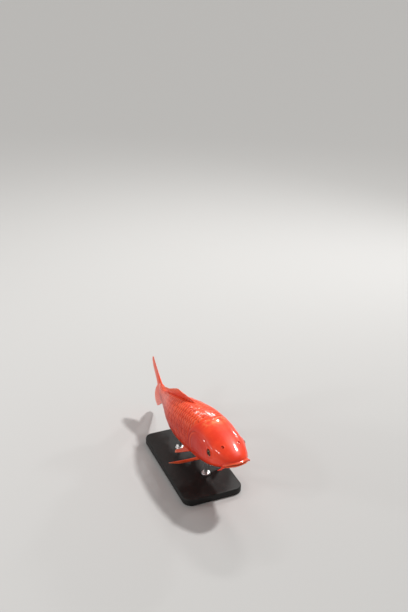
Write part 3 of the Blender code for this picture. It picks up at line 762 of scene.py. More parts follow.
class Finish:
    """One finish: a Principled shader and the nodes that vary it over the surface."""

    def __init__(self, name, **constants):
        self.material = bpy.data.materials.new(name)
        self.material.use_nodes = True
        self.tree = self.material.node_tree
        self.shader = self.tree.nodes["Principled BSDF"]
        for socket, value in constants.items():
            self.shader.inputs[socket.replace("_", " ")].default_value = value

    def node(self, kind, settings=None, inputs=None, output=0):
        made = self.tree.nodes.new(kind)
        for name, value in (settings or {}).items():
            setattr(made, name, value)
        open_inputs = [socket for socket in made.inputs if socket.enabled]
        for key, value in (inputs or {}).items():
            named = [socket for socket in open_inputs if socket.name == key]
            socket = named[0] if named else open_inputs[key]
            if isinstance(value, Wire):
                self.tree.links.new(value.socket, socket)
            else:
                socket.default_value = value
        shown = [socket for socket in made.outputs if socket.enabled]
        return Wire(self, shown[output] if isinstance(output, int) else made.outputs[output])

    def place(self):
        return self.node("ShaderNodeTexCoord", output="Object")

    def mark(self, name):
        return self.node("ShaderNodeAttribute", {"attribute_name": name}, output="Fac")

    def noise(self, scale, detail=3.0, roughness=0.5, vector=None):
        inputs = {"Vector": vector or self.place(), "Scale": scale, "Detail": detail, "Roughness": roughness}
        return self.node("ShaderNodeTexNoise", {}, inputs)

    def blend(self, share, first, second):
        """The first colour turning into the second as the share rises."""
        colours = {"A": first, "B": second, "Factor": share}
        return self.node("ShaderNodeMix", {"data_type": "RGBA"}, colours, "Result")

    def stained(self, tone, stains):
        """A tone under one colour after another, each as strong as its share of its mark."""
        for name, share, tint in stains:
            tone = self.blend(self.mark(name) * share, tone, tint)
        return tone

    def bump(self, height, strength, distance):
        inputs = {"Height": height, "Strength": strength, "Distance": distance}
        self.use(Normal=self.node("ShaderNodeBump", {}, inputs, "Normal"))

    def use(self, **wires):
        for socket, wire in wires.items():
            self.tree.links.new(wire.socket, self.shader.inputs[socket.replace("_", " ")])


def colour(red, green, blue):
    return (red, green, blue, 1.0)


skin_finish = Finish(
    "moist_skin", Roughness=0.38, Specular_IOR_Level=0.2, Coat_Weight=0.5, Coat_Roughness=0.09,
    Subsurface_Weight=0.10, Subsurface_Radius=(0.006, 0.0012, 0.0006), Subsurface_Scale=1.0,
)
mottle = skin_finish.noise(38.0, 4.0, 0.55).above(0.36, 0.66)
tone = skin_finish.blend(mottle, colour(0.86, 0.040, 0.009), colour(0.96, 0.062, 0.015))
tone = skin_finish.stained(tone, (
    # Painted shade: the flank's middle turns a darker red.
    ("flank", 0.85, colour(0.46, 0.009, 0.003)),
    ("cheek", 0.50, colour(0.70, 0.022, 0.006)),
    ("belly", 0.65, colour(0.92, 0.170, 0.050)),
    ("lips", 0.75, colour(0.97, 0.165, 0.055)),
    ("rim", 0.60, colour(0.92, 0.110, 0.035)),
))
# Painted sheen: blotchy gold on the nape.
painted_nape_sheen = skin_finish.noise(120.0, 4.0, 0.6).above(0.40, 0.62) * skin_finish.mark("nape_sheen")
tone = skin_finish.blend(painted_nape_sheen * 0.75, tone, colour(1.0, 0.290, 0.085))
tone = skin_finish.stained(tone, (("shade", 0.85, colour(0.16, 0.008, 0.004)),))
skin_finish.use(Base_Color=tone, Coat_Weight=0.5 - skin_finish.mark("flank") * 0.35)
fine = skin_finish.noise(420.0, 3.0, 0.6)
skin_finish.bump(fine * 0.7 + skin_finish.noise(150.0, 3.0), 0.22, 0.0006)

# Each nostril has a small upright flap of skin between its front and rear openings.

FLAP_RADII = (0.0016, 0.00055, 0.0012)
FLAP_SINK = 0.0002
FLAP_WAY = (0.0, -0.30, 1.0)  # the way of its own that points off the skin


def set_on_fish(bm, spot, turn):
    """Turns a small mesh, moves it to its spot and lays it on the bent fish."""
    bmesh.ops.rotate(bm, cent=(0, 0, 0), matrix=turn.to_matrix(), verts=bm.verts)
    laid = in_place(np.array([vertex.co for vertex in bm.verts]) + spot)
    for vertex, point in zip(bm.verts, laid.tolist()):
        vertex.co = point


def nostril_flap(side):
    """A flattened drop that leans back over the nostril's middle."""
    spot = point_off(nostril_place, side * nostril_down, -FLAP_SINK)
    above = point_off(nostril_place, side * nostril_down, 1.0) - spot
    bm = bmesh.new()
    bm.loops.layers.uv.new("OFBake")
    bmesh.ops.create_uvsphere(bm, u_segments=24, v_segments=16, radius=1.0, calc_uvs=True)
    bmesh.ops.scale(bm, vec=FLAP_RADII, verts=bm.verts)
    set_on_fish(bm, spot, Vector(FLAP_WAY).rotation_difference(Vector(above)))
    return bm


# The barbels are soft feelers of the same skin: a short pair at the upper lip and a longer
# pair at the mouth's corners, each swelling a little where it leaves the lip.

# Kind, place, degrees up from level, length, how far the tip stands off sideways and how much
# less it droops in shares of the length, and radii from root to tip.
BARBELS = (
    ("short", 0.032, -14.0, 0.011, 0.50, 0.05, (0.0013, 0.0013, 0.0009, 0.0005)),
    ("long", 0.055, -36.0, 0.022, 0.24, 0.10, (0.0018, 0.0017, 0.0013, 0.0006)),
)
BARBEL_ROOT = 0.003  # how deep the root lies under the skin
BARBEL_LINE = ((0.6, 0.0, 0.0), (0.96, 0.25, -0.24), (1.0, 0.62, -0.52))  # outward, back and up
BARBEL_FORWARD = -0.15
BARBEL_SWELL = (0.7, 0.10, 0.16)
BARBEL_TIP = 0.95  # share of its length where the round tip begins
BARBEL_ROWS = 40
BARBEL_COLUMNS = 16


def barbel_points(side, place, degrees, length, off, lift, radii):
    """A tapering tube along a smooth line, closed at its root and its round tip."""
    angle = math.radians(degrees)
    root = section_point(np.array([place]), np.array([angle]))[0]
    outward = direction(np.array((math.cos(angle), BARBEL_FORWARD, math.sin(angle))))
    spots = [root - outward * BARBEL_ROOT]
    for out, back, up in BARBEL_LINE:
        drop = np.array((0.0, back, up + lift if back else up))
        spots.append(root + (outward * out * off + drop) * length)
    spots = np.array(spots)
    stops = run_along(spots)
    stops /= stops[-1]
    t = 1.0 - (1.0 - np.linspace(0.0, 1.0, BARBEL_ROWS)) ** 1.4
    line = np.stack([through(list(zip(stops, spots[:, i])), t) for i in range(3)], axis=-1)
    radius = through(list(zip(stops, radii)), t) * (1.0 + fold(t, *BARBEL_SWELL))
    radius *= np.sqrt(1.0 - np.clip((t - BARBEL_TIP) / (1.0 - BARBEL_TIP), 0.0, 1.0) ** 2)
    radius[0] = 0.0
    ahead = direction(np.gradient(line, axis=0))
    across = direction(np.cross(ahead, (0.0, 0.0, 1.0)))
    over = np.cross(across, ahead)
    turns = np.linspace(0.0, 2 * np.pi, BARBEL_COLUMNS + 1)[None, :, None]
    ring = across[:, None] * np.cos(turns) + over[:, None] * np.sin(turns)
    return (line[:, None] + radius[:, None, None] * ring) * (side, 1.0, 1.0)


# Barbels and flaps are joined to the skin. Their bake maps lie in a strip above its own.

SMALL_STRIP = 0.965
STRIP_GAP = 0.005
STRIP_SHARE = 0.96  # how much of its part of the strip each takes

points, marks = skin_points()
skin_mesh = woven(in_place(points), marks)
uv_window(skin_mesh, (0.0, 0.0), (1.0, SMALL_STRIP - STRIP_GAP))
small_parts = [in_place(barbel_points(side, *form)) for side in (-1, 1) for kind, *form in BARBELS]
small_parts = [woven(tube) for tube in small_parts] + [nostril_flap(side) for side in (-1, 1)]
for number, small in enumerate(small_parts):
    wide = 1.0 / len(small_parts)
    uv_window(small, (number * wide, SMALL_STRIP), ((number + STRIP_SHARE) * wide, 1.0))
    join_on(skin_mesh, small)
add_piece("koi_skin", mesh_from(skin_mesh), skin_finish, (
    "head", "lower_jaw", "gill_cover_left", "gill_cover_right", "trunk_front", "trunk_rear", "tail",
    "barbel_short_left", "barbel_short_right", "barbel_long_left", "barbel_long_right",
))


# ------------------------------------------------------------------ the scales
# A carp wears large smooth scales in rows that overlap like roof tiles, each rooted in the
# skin at its front and free at its round rear edge. They run from the nape and the gill covers
# to the tail's root. The row along the middle of each flank is pierced by the lateral line.

SCALE_COLUMNS = 37  # along the flank
SCALE_ROWS = 13  # from the back down to the belly, on each side
SCALE_CROWDING = 0.10  # the first steps are longer by this share, and the last ones shorter
COAT_END = 1.004  # the last scales reach onto the tail fin's root
SCALE_LENGTH = 1.95  # times the step from one scale to the next behind it
SCALE_WIDTH = 1.34  # times the step from one row to the next
SCALE_ROOT = 0.30  # share of a scale's length that lies ahead of its place
LINE_ROW = 6  # the row that carries the lateral line, counted down from the back

SCALE_RISE = 0.00125  # from the root to the free edge
SCALE_SINK = 0.00050  # the root's depth under the coat's surface
DOME_ACROSS = 0.00026
DOME_ALONG = 0.00014
RIM_DROP = 0.00016
SCALE_THICKNESS = 0.00036
FULL_ROW = 0.0100  # narrower rows carry flatter scales
FLATTEST = 0.35  # share of a full scale's height
PORE_SWELL = 0.00030
RIM_CREASE = math.radians(50)  # the rim shows as an edge from this angle

# How much the scales differ from each other, in shares of their own measure or step.
LENGTH_SPREAD = 0.05
WIDTH_SPREAD = 0.03
SLIP_SPREAD = 0.035
DRIFT_SPREAD = 0.020
RISE_SPREAD = 0.20

SCALE_STEPS = 8  # mesh steps along and across one scale
SCALE_PATCH = 0.003  # width of one scale's patch on the bake map
PATCH_MARGIN = 0.02

rng = np.random.default_rng(35)


def one_scale():
    """A rounded plate, flat on top at height 1 and closed below at 0, in a square of -1 to 1. It is domed
    where it is laid.
    """
    bm = bmesh.new()
    bmesh.ops.create_grid(bm, x_segments=SCALE_STEPS, y_segments=SCALE_STEPS, size=1.0)
    rim = [edge for edge in bm.edges if edge.is_boundary]
    for vertex in bm.verts:
        u, v = (math.copysign(1.0 - (1.0 - abs(c)) ** 1.35, c) for c in vertex.co.xy)
        vertex.co = (u * math.sqrt(1.0 - v * v / 2), v * math.sqrt(1.0 - u * u / 2), 1.0)
    wall = bmesh.ops.extrude_edge_only(bm, edges=rim)["geom"]
    lower = [item for item in wall if isinstance(item, bmesh.types.BMVert)]
    for vertex in lower:
        vertex.co.z = 0.0
    bmesh.ops.contextual_create(bm, geom=[e for e in bm.edges if all(v in lower for v in e.verts)])
    bmesh.ops.recalc_face_normals(bm, faces=bm.faces)
    return mesh_from(bm)


def scale_roots(side):
    """One side's scales: place, share down, step along, and whether it is pierced and tucked.

    A tucked scale lies under the rear edge of the one ahead of it.
    """
    made = []
    for row in range(SCALE_ROWS + 1):
        if side < 0 and row in (0, SCALE_ROWS):
            continue
        down = row / SCALE_ROWS
        front = float(coat_front(down)) / BODY_LENGTH
        reach = COAT_END - front
        for column in range(SCALE_COLUMNS):
            share = (column + 0.5 * (row % 2)) / (SCALE_COLUMNS - 0.5)
            eased = share + SCALE_CROWDING * share * (1.0 - share)
            step = reach / SCALE_COLUMNS * (1.0 + SCALE_CROWDING * (1.0 - 2.0 * share))
            made.append((front + reach * eased, down, step, row == LINE_ROW, column > 0))
    return np.array(made, float)


def laid_scales(side, roots, unit):
    """One side's plates laid on the skin and lifting to their free edges, with their marks."""
    def spread(share):
        return share * rng.standard_normal((len(roots), 1))

    ahead, across, top = (unit[None, :, i] for i in range(3))
    across = -side * across
    place, down, step, pierced, tucked = (roots[:, i, None] for i in range(5))
    back = 0.5 * (ahead + 1.0)
    rim = np.hypot(ahead, across)
    step = step * BODY_LENGTH
    row_step = half_girth(place) / SCALE_ROWS
    length = step * SCALE_LENGTH * (1.0 + spread(LENGTH_SPREAD))
    width = row_step * SCALE_WIDTH * (1.0 + spread(WIDTH_SPREAD))
    slip = step * spread(SLIP_SPREAD)
    drift = row_step * spread(DRIFT_SPREAD)
    tilt = SCALE_RISE * (1.0 + spread(RISE_SPREAD))

    y = place * BODY_LENGTH + (back - SCALE_ROOT) * length + slip
    below = down * half_girth(place) + across * width / 2 + drift * np.sin(np.pi * down)
    at = np.clip(y / BODY_LENGTH, 0.0, 1.0)
    share = below / half_girth(at)

    dome = DOME_ACROSS * (1.0 - across**2) + DOME_ALONG * (1.0 - ahead**2)
    dome = dome - RIM_DROP * rise(rim, 0.86, 1.0) - np.where(top > 0.5, 0.0, SCALE_THICKNESS)
    lift = (tilt * back + dome - SCALE_SINK) * np.clip(row_step / FULL_ROW, FLATTEST, 1.0) - COAT_DEPTH
    pore_swell = hump(across, 0.22) * rise(back, 0.55, 0.75) * (1.0 - rise(back, 0.90, 1.0))
    laid = off_body(at, side * share, lift + PORE_SWELL * pierced * pore_swell)

    beyond = np.maximum(y - BODY_LENGTH, 0.0)
    laid[..., 0] *= np.sqrt(1.0 - np.minimum(beyond / TAIL_CAP, 0.9) ** 2)
    laid[..., 1] += beyond
    return in_place(laid), {
        "tone": rng.random((len(roots), 1)) + 0 * rim,
        "back": back + 0 * place,
        "belly": belly_share(share),
        # Painted shade: the flank's middle is marked to be coloured darker red.
        "flank": flank_share(share),
        # Painted shade: darker where a scale lies under the rear edge of the scale ahead.
        "tucked_shade": tucked * (1.0 - rise(back, 0.40, 0.62)) * (1.0 - rise(place, 0.94, 0.98)),
        "pore": pierced * hump(across, 0.20) * hump(back - 0.90, 0.10),
    }


def scaled_coat(name, side, finish):
    """One side's scales as a single piece."""
    plate = one_scale()
    roots = scale_roots(side)
    unit = np.array([vertex.co for vertex in plate.vertices])
    bm = bmesh.new()
    for _ in roots:
        bm.from_mesh(plate)
    mesh = mesh_from(bm)
    points, marks = laid_scales(side, roots, unit)
    mesh.vertices.foreach_set("co", points.ravel())
    for mark, values in marks.items():
        mesh.attributes.new(mark, "FLOAT", "POINT").data.foreach_set("value", values.ravel())

    down = PATCH_MARGIN + roots[:, 1, None] * (1.0 - 2.0 * PATCH_MARGIN)
    patches = vectors(roots[:, 0, None], down, 0.0) + SCALE_PATCH / 2 * unit * (1.0, -side, 0.0)
    corners = np.zeros(len(mesh.loops), int)
    mesh.loops.foreach_get("vertex_index", corners)
    flat = patches[..., :2].reshape(-1, 2)[corners]
    mesh.uv_layers.new(name="OFBake").data.foreach_set("uv", flat.ravel())
    add_piece(name, mesh, finish, crease=RIM_CREASE)


scale_finish = Finish(
    "scale_red", Roughness=0.32, Specular_IOR_Level=0.12, Coat_Weight=0.6, Coat_Roughness=0.08,
    Subsurface_Weight=0.06, Subsurface_Radius=(0.004, 0.001, 0.0005), Subsurface_Scale=1.0,
)
patch = scale_finish.noise(30.0, 3.0, 0.55).above(0.35, 0.65)
tone = scale_finish.blend(patch, colour(0.84, 0.038, 0.009), colour(0.95, 0.066, 0.016))
tone = scale_finish.stained(tone, (
    # Painted shade: the flank's middle turns a darker red.
    ("flank", 0.85, colour(0.44, 0.008, 0.003)),
    ("tone", 0.35, colour(0.98, 0.110, 0.030)),
    ("belly", 0.70, colour(0.93, 0.175, 0.055)),
))
# Each scale's free rear edge turns pale: partly the scale's own paler rim, partly a painted glint, kept
# faint on the flank's painted shade.
edge = scale_finish.mark("back").above(0.70, 0.96) * (0.60 - scale_finish.mark("flank") * 0.50)
tone = scale_finish.blend(edge, tone, colour(1.0, 0.270, 0.140))
tone = scale_finish.stained(tone, (
    # Painted shade under the scale ahead, then the dark lateral-line pores.
    ("tucked_shade", 0.75, colour(0.34, 0.010, 0.004)),
    ("pore", 0.80, colour(0.20, 0.010, 0.004)),
))
scale_finish.use(Base_Color=tone, Coat_Weight=0.6 - scale_finish.mark("flank") * 0.54)
ridges = (scale_finish.mark("back") * 95.0).math("SINE") * 0.35
scale_finish.bump(scale_finish.noise(650.0, 2.0) + ridges, 0.12, 0.0003)

for side, word in ((-1, "right"), (1, "left")):
    scaled_coat(f"scales_{word}", side, scale_finish)


# ------------------------------------------------------------------ the eyes
# Each eye is a glossy ball set into its round rim: a wide black pupil in a narrow ring of
# dark bronze, under a clear bulging front.

EYE_RADIUS = 0.0066
EYE_STANDS_OUT = 0.0016
PUPIL = 0.0031
IRIS_RING = 0.0034
IRIS = 0.0052
# How wide each ring of colour runs into the next.
PUPIL_BLUR = 0.0002
RING_BLUR = 0.0005
RIM_BLUR = 0.0004


def eye_ball(word, side, finish):
    """A ball in the eye's opening that looks straight off the skin, marked with how far off it looks."""
    skin_spot = point_off(eye_place, side * eye_down)
    outward = point_off(eye_place, side * eye_down, 1.0) - skin_spot
    centre = skin_spot - np.array((side * (EYE_RADIUS - EYE_STANDS_OUT), 0.0, 0.0))
    bm = bmesh.new()
    gaze = bm.verts.layers.float.new("gaze")
    bmesh.ops.create_uvsphere(bm, u_segments=48, v_segments=40, radius=EYE_RADIUS, calc_uvs=True)
    for vertex in bm.verts:
        vertex[gaze] = vertex.co.xy.length if vertex.co.z > 0 else 1.0
    set_on_fish(bm, centre, Vector((0.0, 0.0, 1.0)).rotation_difference(Vector(outward)))
    add_piece(f"koi_eye_{word}", mesh_from(bm), finish, (f"eye_{word}",))


eye_finish = Finish("dark_eye", Roughness=0.30, Specular_IOR_Level=0.1, Coat_Weight=0.4, Coat_Roughness=0.02)
gaze = eye_finish.mark("gaze")
grain = eye_finish.noise(900.0, 3.0)
iris = eye_finish.blend(grain.above(0.35, 0.7), colour(0.020, 0.009, 0.004), colour(0.090, 0.036, 0.010))
black, bronze, rim_brown = colour(0.004, 0.003, 0.003), colour(0.40, 0.19, 0.04), colour(0.012, 0.006, 0.004)
tone = eye_finish.blend(gaze.above(PUPIL, PUPIL + PUPIL_BLUR), black, bronze)
tone = eye_finish.blend(gaze.above(IRIS_RING, IRIS_RING + RING_BLUR), tone, iris)
tone = eye_finish.blend(gaze.above(IRIS - RIM_BLUR, IRIS), tone, rim_brown)
eye_finish.use(Base_Color=tone)
for side, word in ((-1, "right"), (1, "left")):
    eye_ball(word, side, eye_finish)


# ------------------------------------------------------------------ the fins
# Fins are thin webs of skin stretched over bony rays, which branch toward the margin. They
# are thick at the root and half a millimetre at the edge. The dorsal fin is laid low and leans
# over, the tail fin is forked, and the paired fins spread like fans.

FIN_ROOT = 0.0030
FIN_EDGE = 0.0005
FIN_DEPTH = 0.005  # how far a fin goes on under the skin
THINNED_BY = 0.55  # share of the way out where the web has reached the edge's thickness
RAY_RIDGE = (0.00050, -0.00034)  # a ray's height at the root, and its change toward the margin
FIRST_RAY = 0.00055  # the stout first ray stands higher by this
MARGIN_NOTCH = 0.008  # share by which the web falls short between the rays
COLUMNS_PER_RAY = 14
FIN_ROWS = 46

# Bases in places along the body, tilts in degrees up from straight back at the first and last
# ray, and the rays' lengths by share of the way along the base, in body lengths.
DORSAL_BASE = (0.455, 0.820)
DORSAL_TILT = (20.0, 12.0)
DORSAL_LENGTH = ((0.0, 0.112), (0.07, 0.137), (0.30, 0.110), (0.55, 0.086), (1.0, 0.074))
DORSAL_LEAN = (-0.007, 0.0, -0.003)  # how far the rays' tips lean over
DORSAL_RAYS = 20
ANAL_BASE = (0.755, 0.830)
ANAL_TILT = (-50.0, -30.0)
ANAL_LENGTH = ((0.0, 0.126), (0.15, 0.124), (0.50, 0.100), (1.0, 0.072))
ANAL_RAYS = 8
CAUDAL_ROOT = 0.965
CAUDAL_ROOT_HEIGHT = 0.061
CAUDAL_TILT = 36.0  # degrees of the outermost rays, up and down
CAUDAL_LENGTH = ((0.0, 0.140), (0.40, 0.198), (0.80, 0.256), (1.0, 0.234))  # from the middle ray out
CAUDAL_CURL = 0.009
CAUDAL_RAYS = 19
PAIRED_OUTLINE = ((0.0, 0.90), (0.20, 0.96), (0.50, 0.85), (1.0, 0.61))
PAIRED_SWEEP = 0.10
# Root, way of the first ray, way of the root, longest ray, root's width, fan in degrees, rays.
PAIRED_FINS = {
    "pectoral": (
        (0.0208, 0.1015, -0.0322), (0.78, 0.56, -0.24), (-0.55, 0.60, -0.60), 0.0715, 0.016, 46.0, 16,
    ),
    "pelvic": (
        (0.0150, 0.1500, -0.0390), (0.24, 0.88, -0.47), (-0.55, 0.80, -0.24), 0.0580, 0.012, 40.0, 10,
    ),
}
# How far each fin's web waves to either side.
MIDDLE_WAVE = 0.0006
TAIL_WAVE = 0.0016
PAIRED_WAVE = 0.0010


def ray_marks(across, out, rays):
    """How near each point of the web lies to a ray, as the rays branch toward the margin."""
    phase = across * rays
    off = np.abs(phase - np.round(phase))
    first = 0.25 * rise(out, 0.30, 1.0)
    second = 0.125 * rise(out, 0.62, 1.05)
    branch = np.abs(np.abs(off - first) - second)
    width = 0.24 - 0.13 * rise(out, 0.0, 0.9)
    return hump(branch, width)


def fin_sides(roots, ways, lengths, bends, rays, wave):
    """Both faces of a fin as one closed grid, out along the rays and round from edge to edge."""
    evenly = np.linspace(0.0, 1.0, rays * COLUMNS_PER_RAY + 1)
    across = 0.85 * evenly + 0.15 * (1.0 - np.cos(np.pi * evenly)) / 2
    out = 1.0 - (1.0 - np.linspace(0.0, 1.0, FIN_ROWS)) ** 1.3
    u, v = np.meshgrid(across, out)
    marks = ray_marks(u, v, rays)
    margin = ray_marks(u, np.ones_like(u), rays)
    reach = lengths(u)[..., None] * (1.0 - MARGIN_NOTCH * (1.0 - margin))[..., None]
    sheet = roots(u) + ways(u) * reach * v[..., None] + bends(u) * (v * v)[..., None]
    outward = np.cross(np.gradient(sheet, axis=0), np.gradient(sheet, axis=1))
    outward /= np.maximum(np.linalg.norm(outward, axis=-1, keepdims=True), 1e-12)
    sheet = sheet + outward * (wave * v**2 * np.sin(2 * np.pi * (1.6 * u + 0.35 * v)))[..., None]

    web = (FIN_ROOT + (FIN_EDGE - FIN_ROOT) * rise(v, 0.0, THINNED_BY)) / 2
    ridge = (RAY_RIDGE[0] + RAY_RIDGE[1] * v) * marks * rise(v, 0.02, 0.12)
    first = FIRST_RAY * hump(u * rays, 1.0) * (1.0 - 0.6 * v)
    near_edge = np.minimum(u, 1.0 - u) * rays
    round_edge = np.sqrt(1.0 - (1.0 - np.clip(near_edge / 0.35, 0.0, 1.0)) ** 2)
    round_tip = np.sqrt(1.0 - np.clip((v - 0.975) / 0.025, 0.0, 1.0) ** 2)
    half = (web + ridge + first) * round_edge * round_tip * (v > 0)

    near_face = sheet + outward * half[..., None]
    far_face = (sheet - outward * half[..., None])[:, ::-1]
    both = {
        name: np.concatenate((values, values[:, ::-1][:, 1:]), axis=1)
        for name, values in {"ray": marks, "out": v}.items()
    }
    return np.concatenate((near_face, far_face[:, 1:]), axis=1), both


def backward(degrees):
    """Ways in the middle plane that point back and up by an angle."""
    return vectors(0.0 * degrees, np.cos(np.radians(degrees)), np.sin(np.radians(degrees)))


def fin_on_line(base, tilt, lengths, body_line, lean):
    """The rays of a fin that stands on the back or belly line, rooted a little under the skin."""
    def place(u):
        return base[0] + (base[1] - base[0]) * u

    def degrees(u):
        return tilt[0] + (tilt[1] - tilt[0]) * u

    def sink(u):
        return FIN_DEPTH / np.sin(np.radians(np.abs(degrees(u))))

    def roots(u):
        on_line = vectors(0.0 * u, place(u), through(body_line, place(u))) * BODY_LENGTH
        return on_line - backward(degrees(u)) * sink(u)[..., None]

    return (
        roots,
        lambda u: backward(degrees(u)),
        lambda u: through(lengths, u) * BODY_LENGTH + sink(u),
        lambda u: np.array(lean),
    )


def caudal_form():
    """The forked tail fin, from the lower edge (0) to the upper (1)."""
    def up(u):
        return 2.0 * u - 1.0

    return (
        lambda u: vectors(0.0 * u, CAUDAL_ROOT + 0.0 * u, CAUDAL_ROOT_HEIGHT * up(u)) * BODY_LENGTH,
        lambda u: backward(CAUDAL_TILT * up(u)),
        lambda u: through(CAUDAL_LENGTH, np.abs(up(u))) * BODY_LENGTH,
        lambda u: vectors(0.0 * u, 0.0, -CAUDAL_CURL * up(u)),
    )


def paired_form(side, root, first, line, length, width, fan):
    """A fan of rays that start side by side along the root."""
    mirror = np.array((side, 1.0, 1.0))
    root = np.array(root)
    first, line = direction(np.array(first)), direction(np.array(line))

    def ways(u):
        turn = np.radians(fan * u)[..., None]
        return direction(first * np.cos(turn) + line * np.sin(turn)) * mirror

    return (
        lambda u: (root + line * (width * (u - 0.5))[..., None]) * mirror,
        ways,
        lambda u: length * through(PAIRED_OUTLINE, u),
        lambda u: np.array((0.0, PAIRED_SWEEP * length, 0.0)),
    )


def fin_piece(name, form, rays, wave, nodes):
    grid, marks = fin_sides(*form, rays, wave)
    add_piece(name, mesh_from(woven(in_place(grid), marks)), fin_finish, nodes)


fin_finish = Finish(
    "fin_web", Roughness=0.38, Specular_IOR_Level=0.2, Coat_Weight=0.30, Coat_Roughness=0.14,
    Subsurface_Weight=0.15, Subsurface_Radius=(0.005, 0.0010, 0.0005), Subsurface_Scale=1.0,
)
ray = fin_finish.mark("ray")
out = fin_finish.mark("out")
cloud = fin_finish.noise(45.0, 3.0).above(0.35, 0.65)
tone = fin_finish.blend(cloud, colour(0.82, 0.046, 0.012), colour(0.93, 0.085, 0.024))
gap = (1.0 - ray.above(0.0, 0.35)) * out.above(0.10, 0.40)
for share, tint in (
    (out.above(0.50, 1.0) * 0.55, colour(0.92, 0.170, 0.065)),
    (ray * 0.40, colour(0.95, 0.130, 0.045)),
    (out.above(0.90, 1.0) * 0.45, colour(0.80, 0.340, 0.210)),
    (gap * 0.35, colour(0.56, 0.024, 0.008)),
):
    tone = fin_finish.blend(share, tone, tint)
fin_finish.use(Base_Color=tone)
joints = (out * 330.0).math("SINE") * ray.above(0.3, 0.8) * out.above(0.25, 0.45)
fin_finish.bump(joints * 0.5 + fin_finish.noise(500.0, 2.0) * 0.4, 0.25, 0.0002)

dorsal = fin_on_line(DORSAL_BASE, DORSAL_TILT, DORSAL_LENGTH, BACK_LINE, DORSAL_LEAN)
fin_piece("koi_dorsal_fin", dorsal, DORSAL_RAYS, MIDDLE_WAVE, ("dorsal_fin",))
anal = fin_on_line(ANAL_BASE, ANAL_TILT, ANAL_LENGTH, BELLY_LINE, (0.0, 0.0, 0.0))
fin_piece("koi_anal_fin", anal, ANAL_RAYS, MIDDLE_WAVE, ("anal_fin",))
fin_piece("koi_tail_fin", caudal_form(), CAUDAL_RAYS, TAIL_WAVE, ("caudal_fin_upper", "caudal_fin_lower"))
for side, word in ((-1, "right"), (1, "left")):
    for kind, (*form, rays) in PAIRED_FINS.items():
        fin = f"{kind}_fin_{word}"
        fin_piece(f"koi_{fin}", paired_form(side, *form), rays, PAIRED_WAVE, (fin,))


# ------------------------------------------------------------------ the stand
# A wooden slab with rounded corners, painted matt black and rubbed a little, carries two
# turned steel rods with round feet. The rods were brushed on the lathe and run up to the belly.

BASE_CORNER = 0.018
BASE_EDGE = 0.0025
CORNER_STEPS = 12
EDGE_STEPS = 4
ROD_RADIUS = 0.0035
FOOT_HEIGHT = 0.004
FOOT_CHAMFER = 0.0013
ROD_NECK = 0.0012  # radius of the hollow where a rod runs into its foot
NECK_STEPS = 6
TURNING_STEPS = 64
STAND_CREASE = math.radians(35)


def rounded(bm, edges, offset, segments):
    bmesh.ops.bevel(
        bm, geom=edges, offset=offset, segments=segments, profile=0.5, affect="EDGES", material=-1,
    )


paint = Finish("matt_black_paint", Roughness=0.55, Specular_IOR_Level=0.25)
dust = paint.noise(60.0, 5.0, 0.6)
worn = paint.blend(dust.above(0.45, 0.80) * 0.5, colour(0.012, 0.012, 0.012), colour(0.045, 0.043, 0.040))
paint.use(Base_Color=worn, Roughness=0.46 + dust.above(0.3, 0.8) * 0.16)
paint.bump(paint.noise(260.0, 3.0), 0.10, 0.0004)

slab = bmesh.new()
bmesh.ops.create_cube(slab, size=1.0)
slab_low, slab_high = (Vector(corner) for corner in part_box("stand_base"))
bmesh.ops.scale(slab, vec=slab_high - slab_low, verts=slab.verts)
bmesh.ops.translate(slab, vec=(slab_high + slab_low) / 2, verts=slab.verts)
upright = [edge for edge in slab.edges if abs(edge.verts[0].co.z - edge.verts[1].co.z) > BASE_EDGE]
rounded(slab, upright, BASE_CORNER, CORNER_STEPS)
level = [edge for edge in slab.edges if abs(edge.verts[0].co.z - edge.verts[1].co.z) < BASE_EDGE]
rims = [edge for edge in level if any(abs(face.normal.z) < 0.5 for face in edge.link_faces)]
rounded(slab, rims, BASE_EDGE, EDGE_STEPS)
bmesh.ops.recalc_face_normals(slab, faces=slab.faces)
add_piece("display_slab", mesh_from(slab), paint, ("stand_base",), STAND_CREASE)

steel = Finish("brushed_steel", Metallic=1.0, Specular_IOR_Level=0.5)
turned = steel.node("ShaderNodeMapping", {}, {"Vector": steel.place(), "Scale": (6.0, 6.0, 2600.0)})
rings = steel.noise(1.0, 2.0, 0.5, turned)
bright = steel.blend(rings.above(0.3, 0.7), colour(0.53, 0.53, 0.54), colour(0.60, 0.60, 0.60))
steel.use(Base_Color=bright, Roughness=0.30 + rings * 0.10)
steel.bump(rings, 0.05, 0.0001)


def turned_rod(end):
    """A rod and its foot, spun from half an outline."""
    low, high = (Vector(corner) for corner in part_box(f"stand_rod_{end}"))
    axis = (low + high) / 2
    foot = (high.x - low.x) / 2
    shoulder = low.z + FOOT_HEIGHT
    outline = [(0.0, low.z), (foot, low.z), (foot, shoulder - FOOT_CHAMFER), (foot - FOOT_CHAMFER, shoulder)]
    for step in range(NECK_STEPS + 1):
        turn = math.pi / 2 * step / NECK_STEPS
        out = ROD_RADIUS + ROD_NECK * (1.0 - math.sin(turn))
        outline.append((out, shoulder + ROD_NECK * (1.0 - math.cos(turn))))
    outline += [(ROD_RADIUS, high.z), (0.0, high.z)]
    bm = bmesh.new()
    spots = [bm.verts.new((axis.x + out, axis.y, height)) for out, height in outline]
    edges = [bm.edges.new(pair) for pair in zip(spots, spots[1:])]
    bmesh.ops.spin(
        bm, geom=spots + edges, cent=(axis.x, axis.y, 0.0), axis=(0.0, 0.0, 1.0), angle=2 * math.pi,
        steps=TURNING_STEPS, use_merge=True,
    )
    bmesh.ops.remove_doubles(bm, verts=bm.verts, dist=1e-6)
    bmesh.ops.recalc_face_normals(bm, faces=bm.faces)
    return mesh_from(bm)


for end in ("front", "rear"):
    rod = turned_rod(end)
    add_piece(f"display_rod_{end}", rod, steel, (f"stand_rod_{end}",), STAND_CREASE)


# ------------------------------------------------------------------ the room
# A wide pale floor in a softly lit room. A far lamp stands high on the fish's left, and five
# small lamps round it give the wet gleams. The camera stands 1.6 m off to the fish's right and
# front, looking down over it.

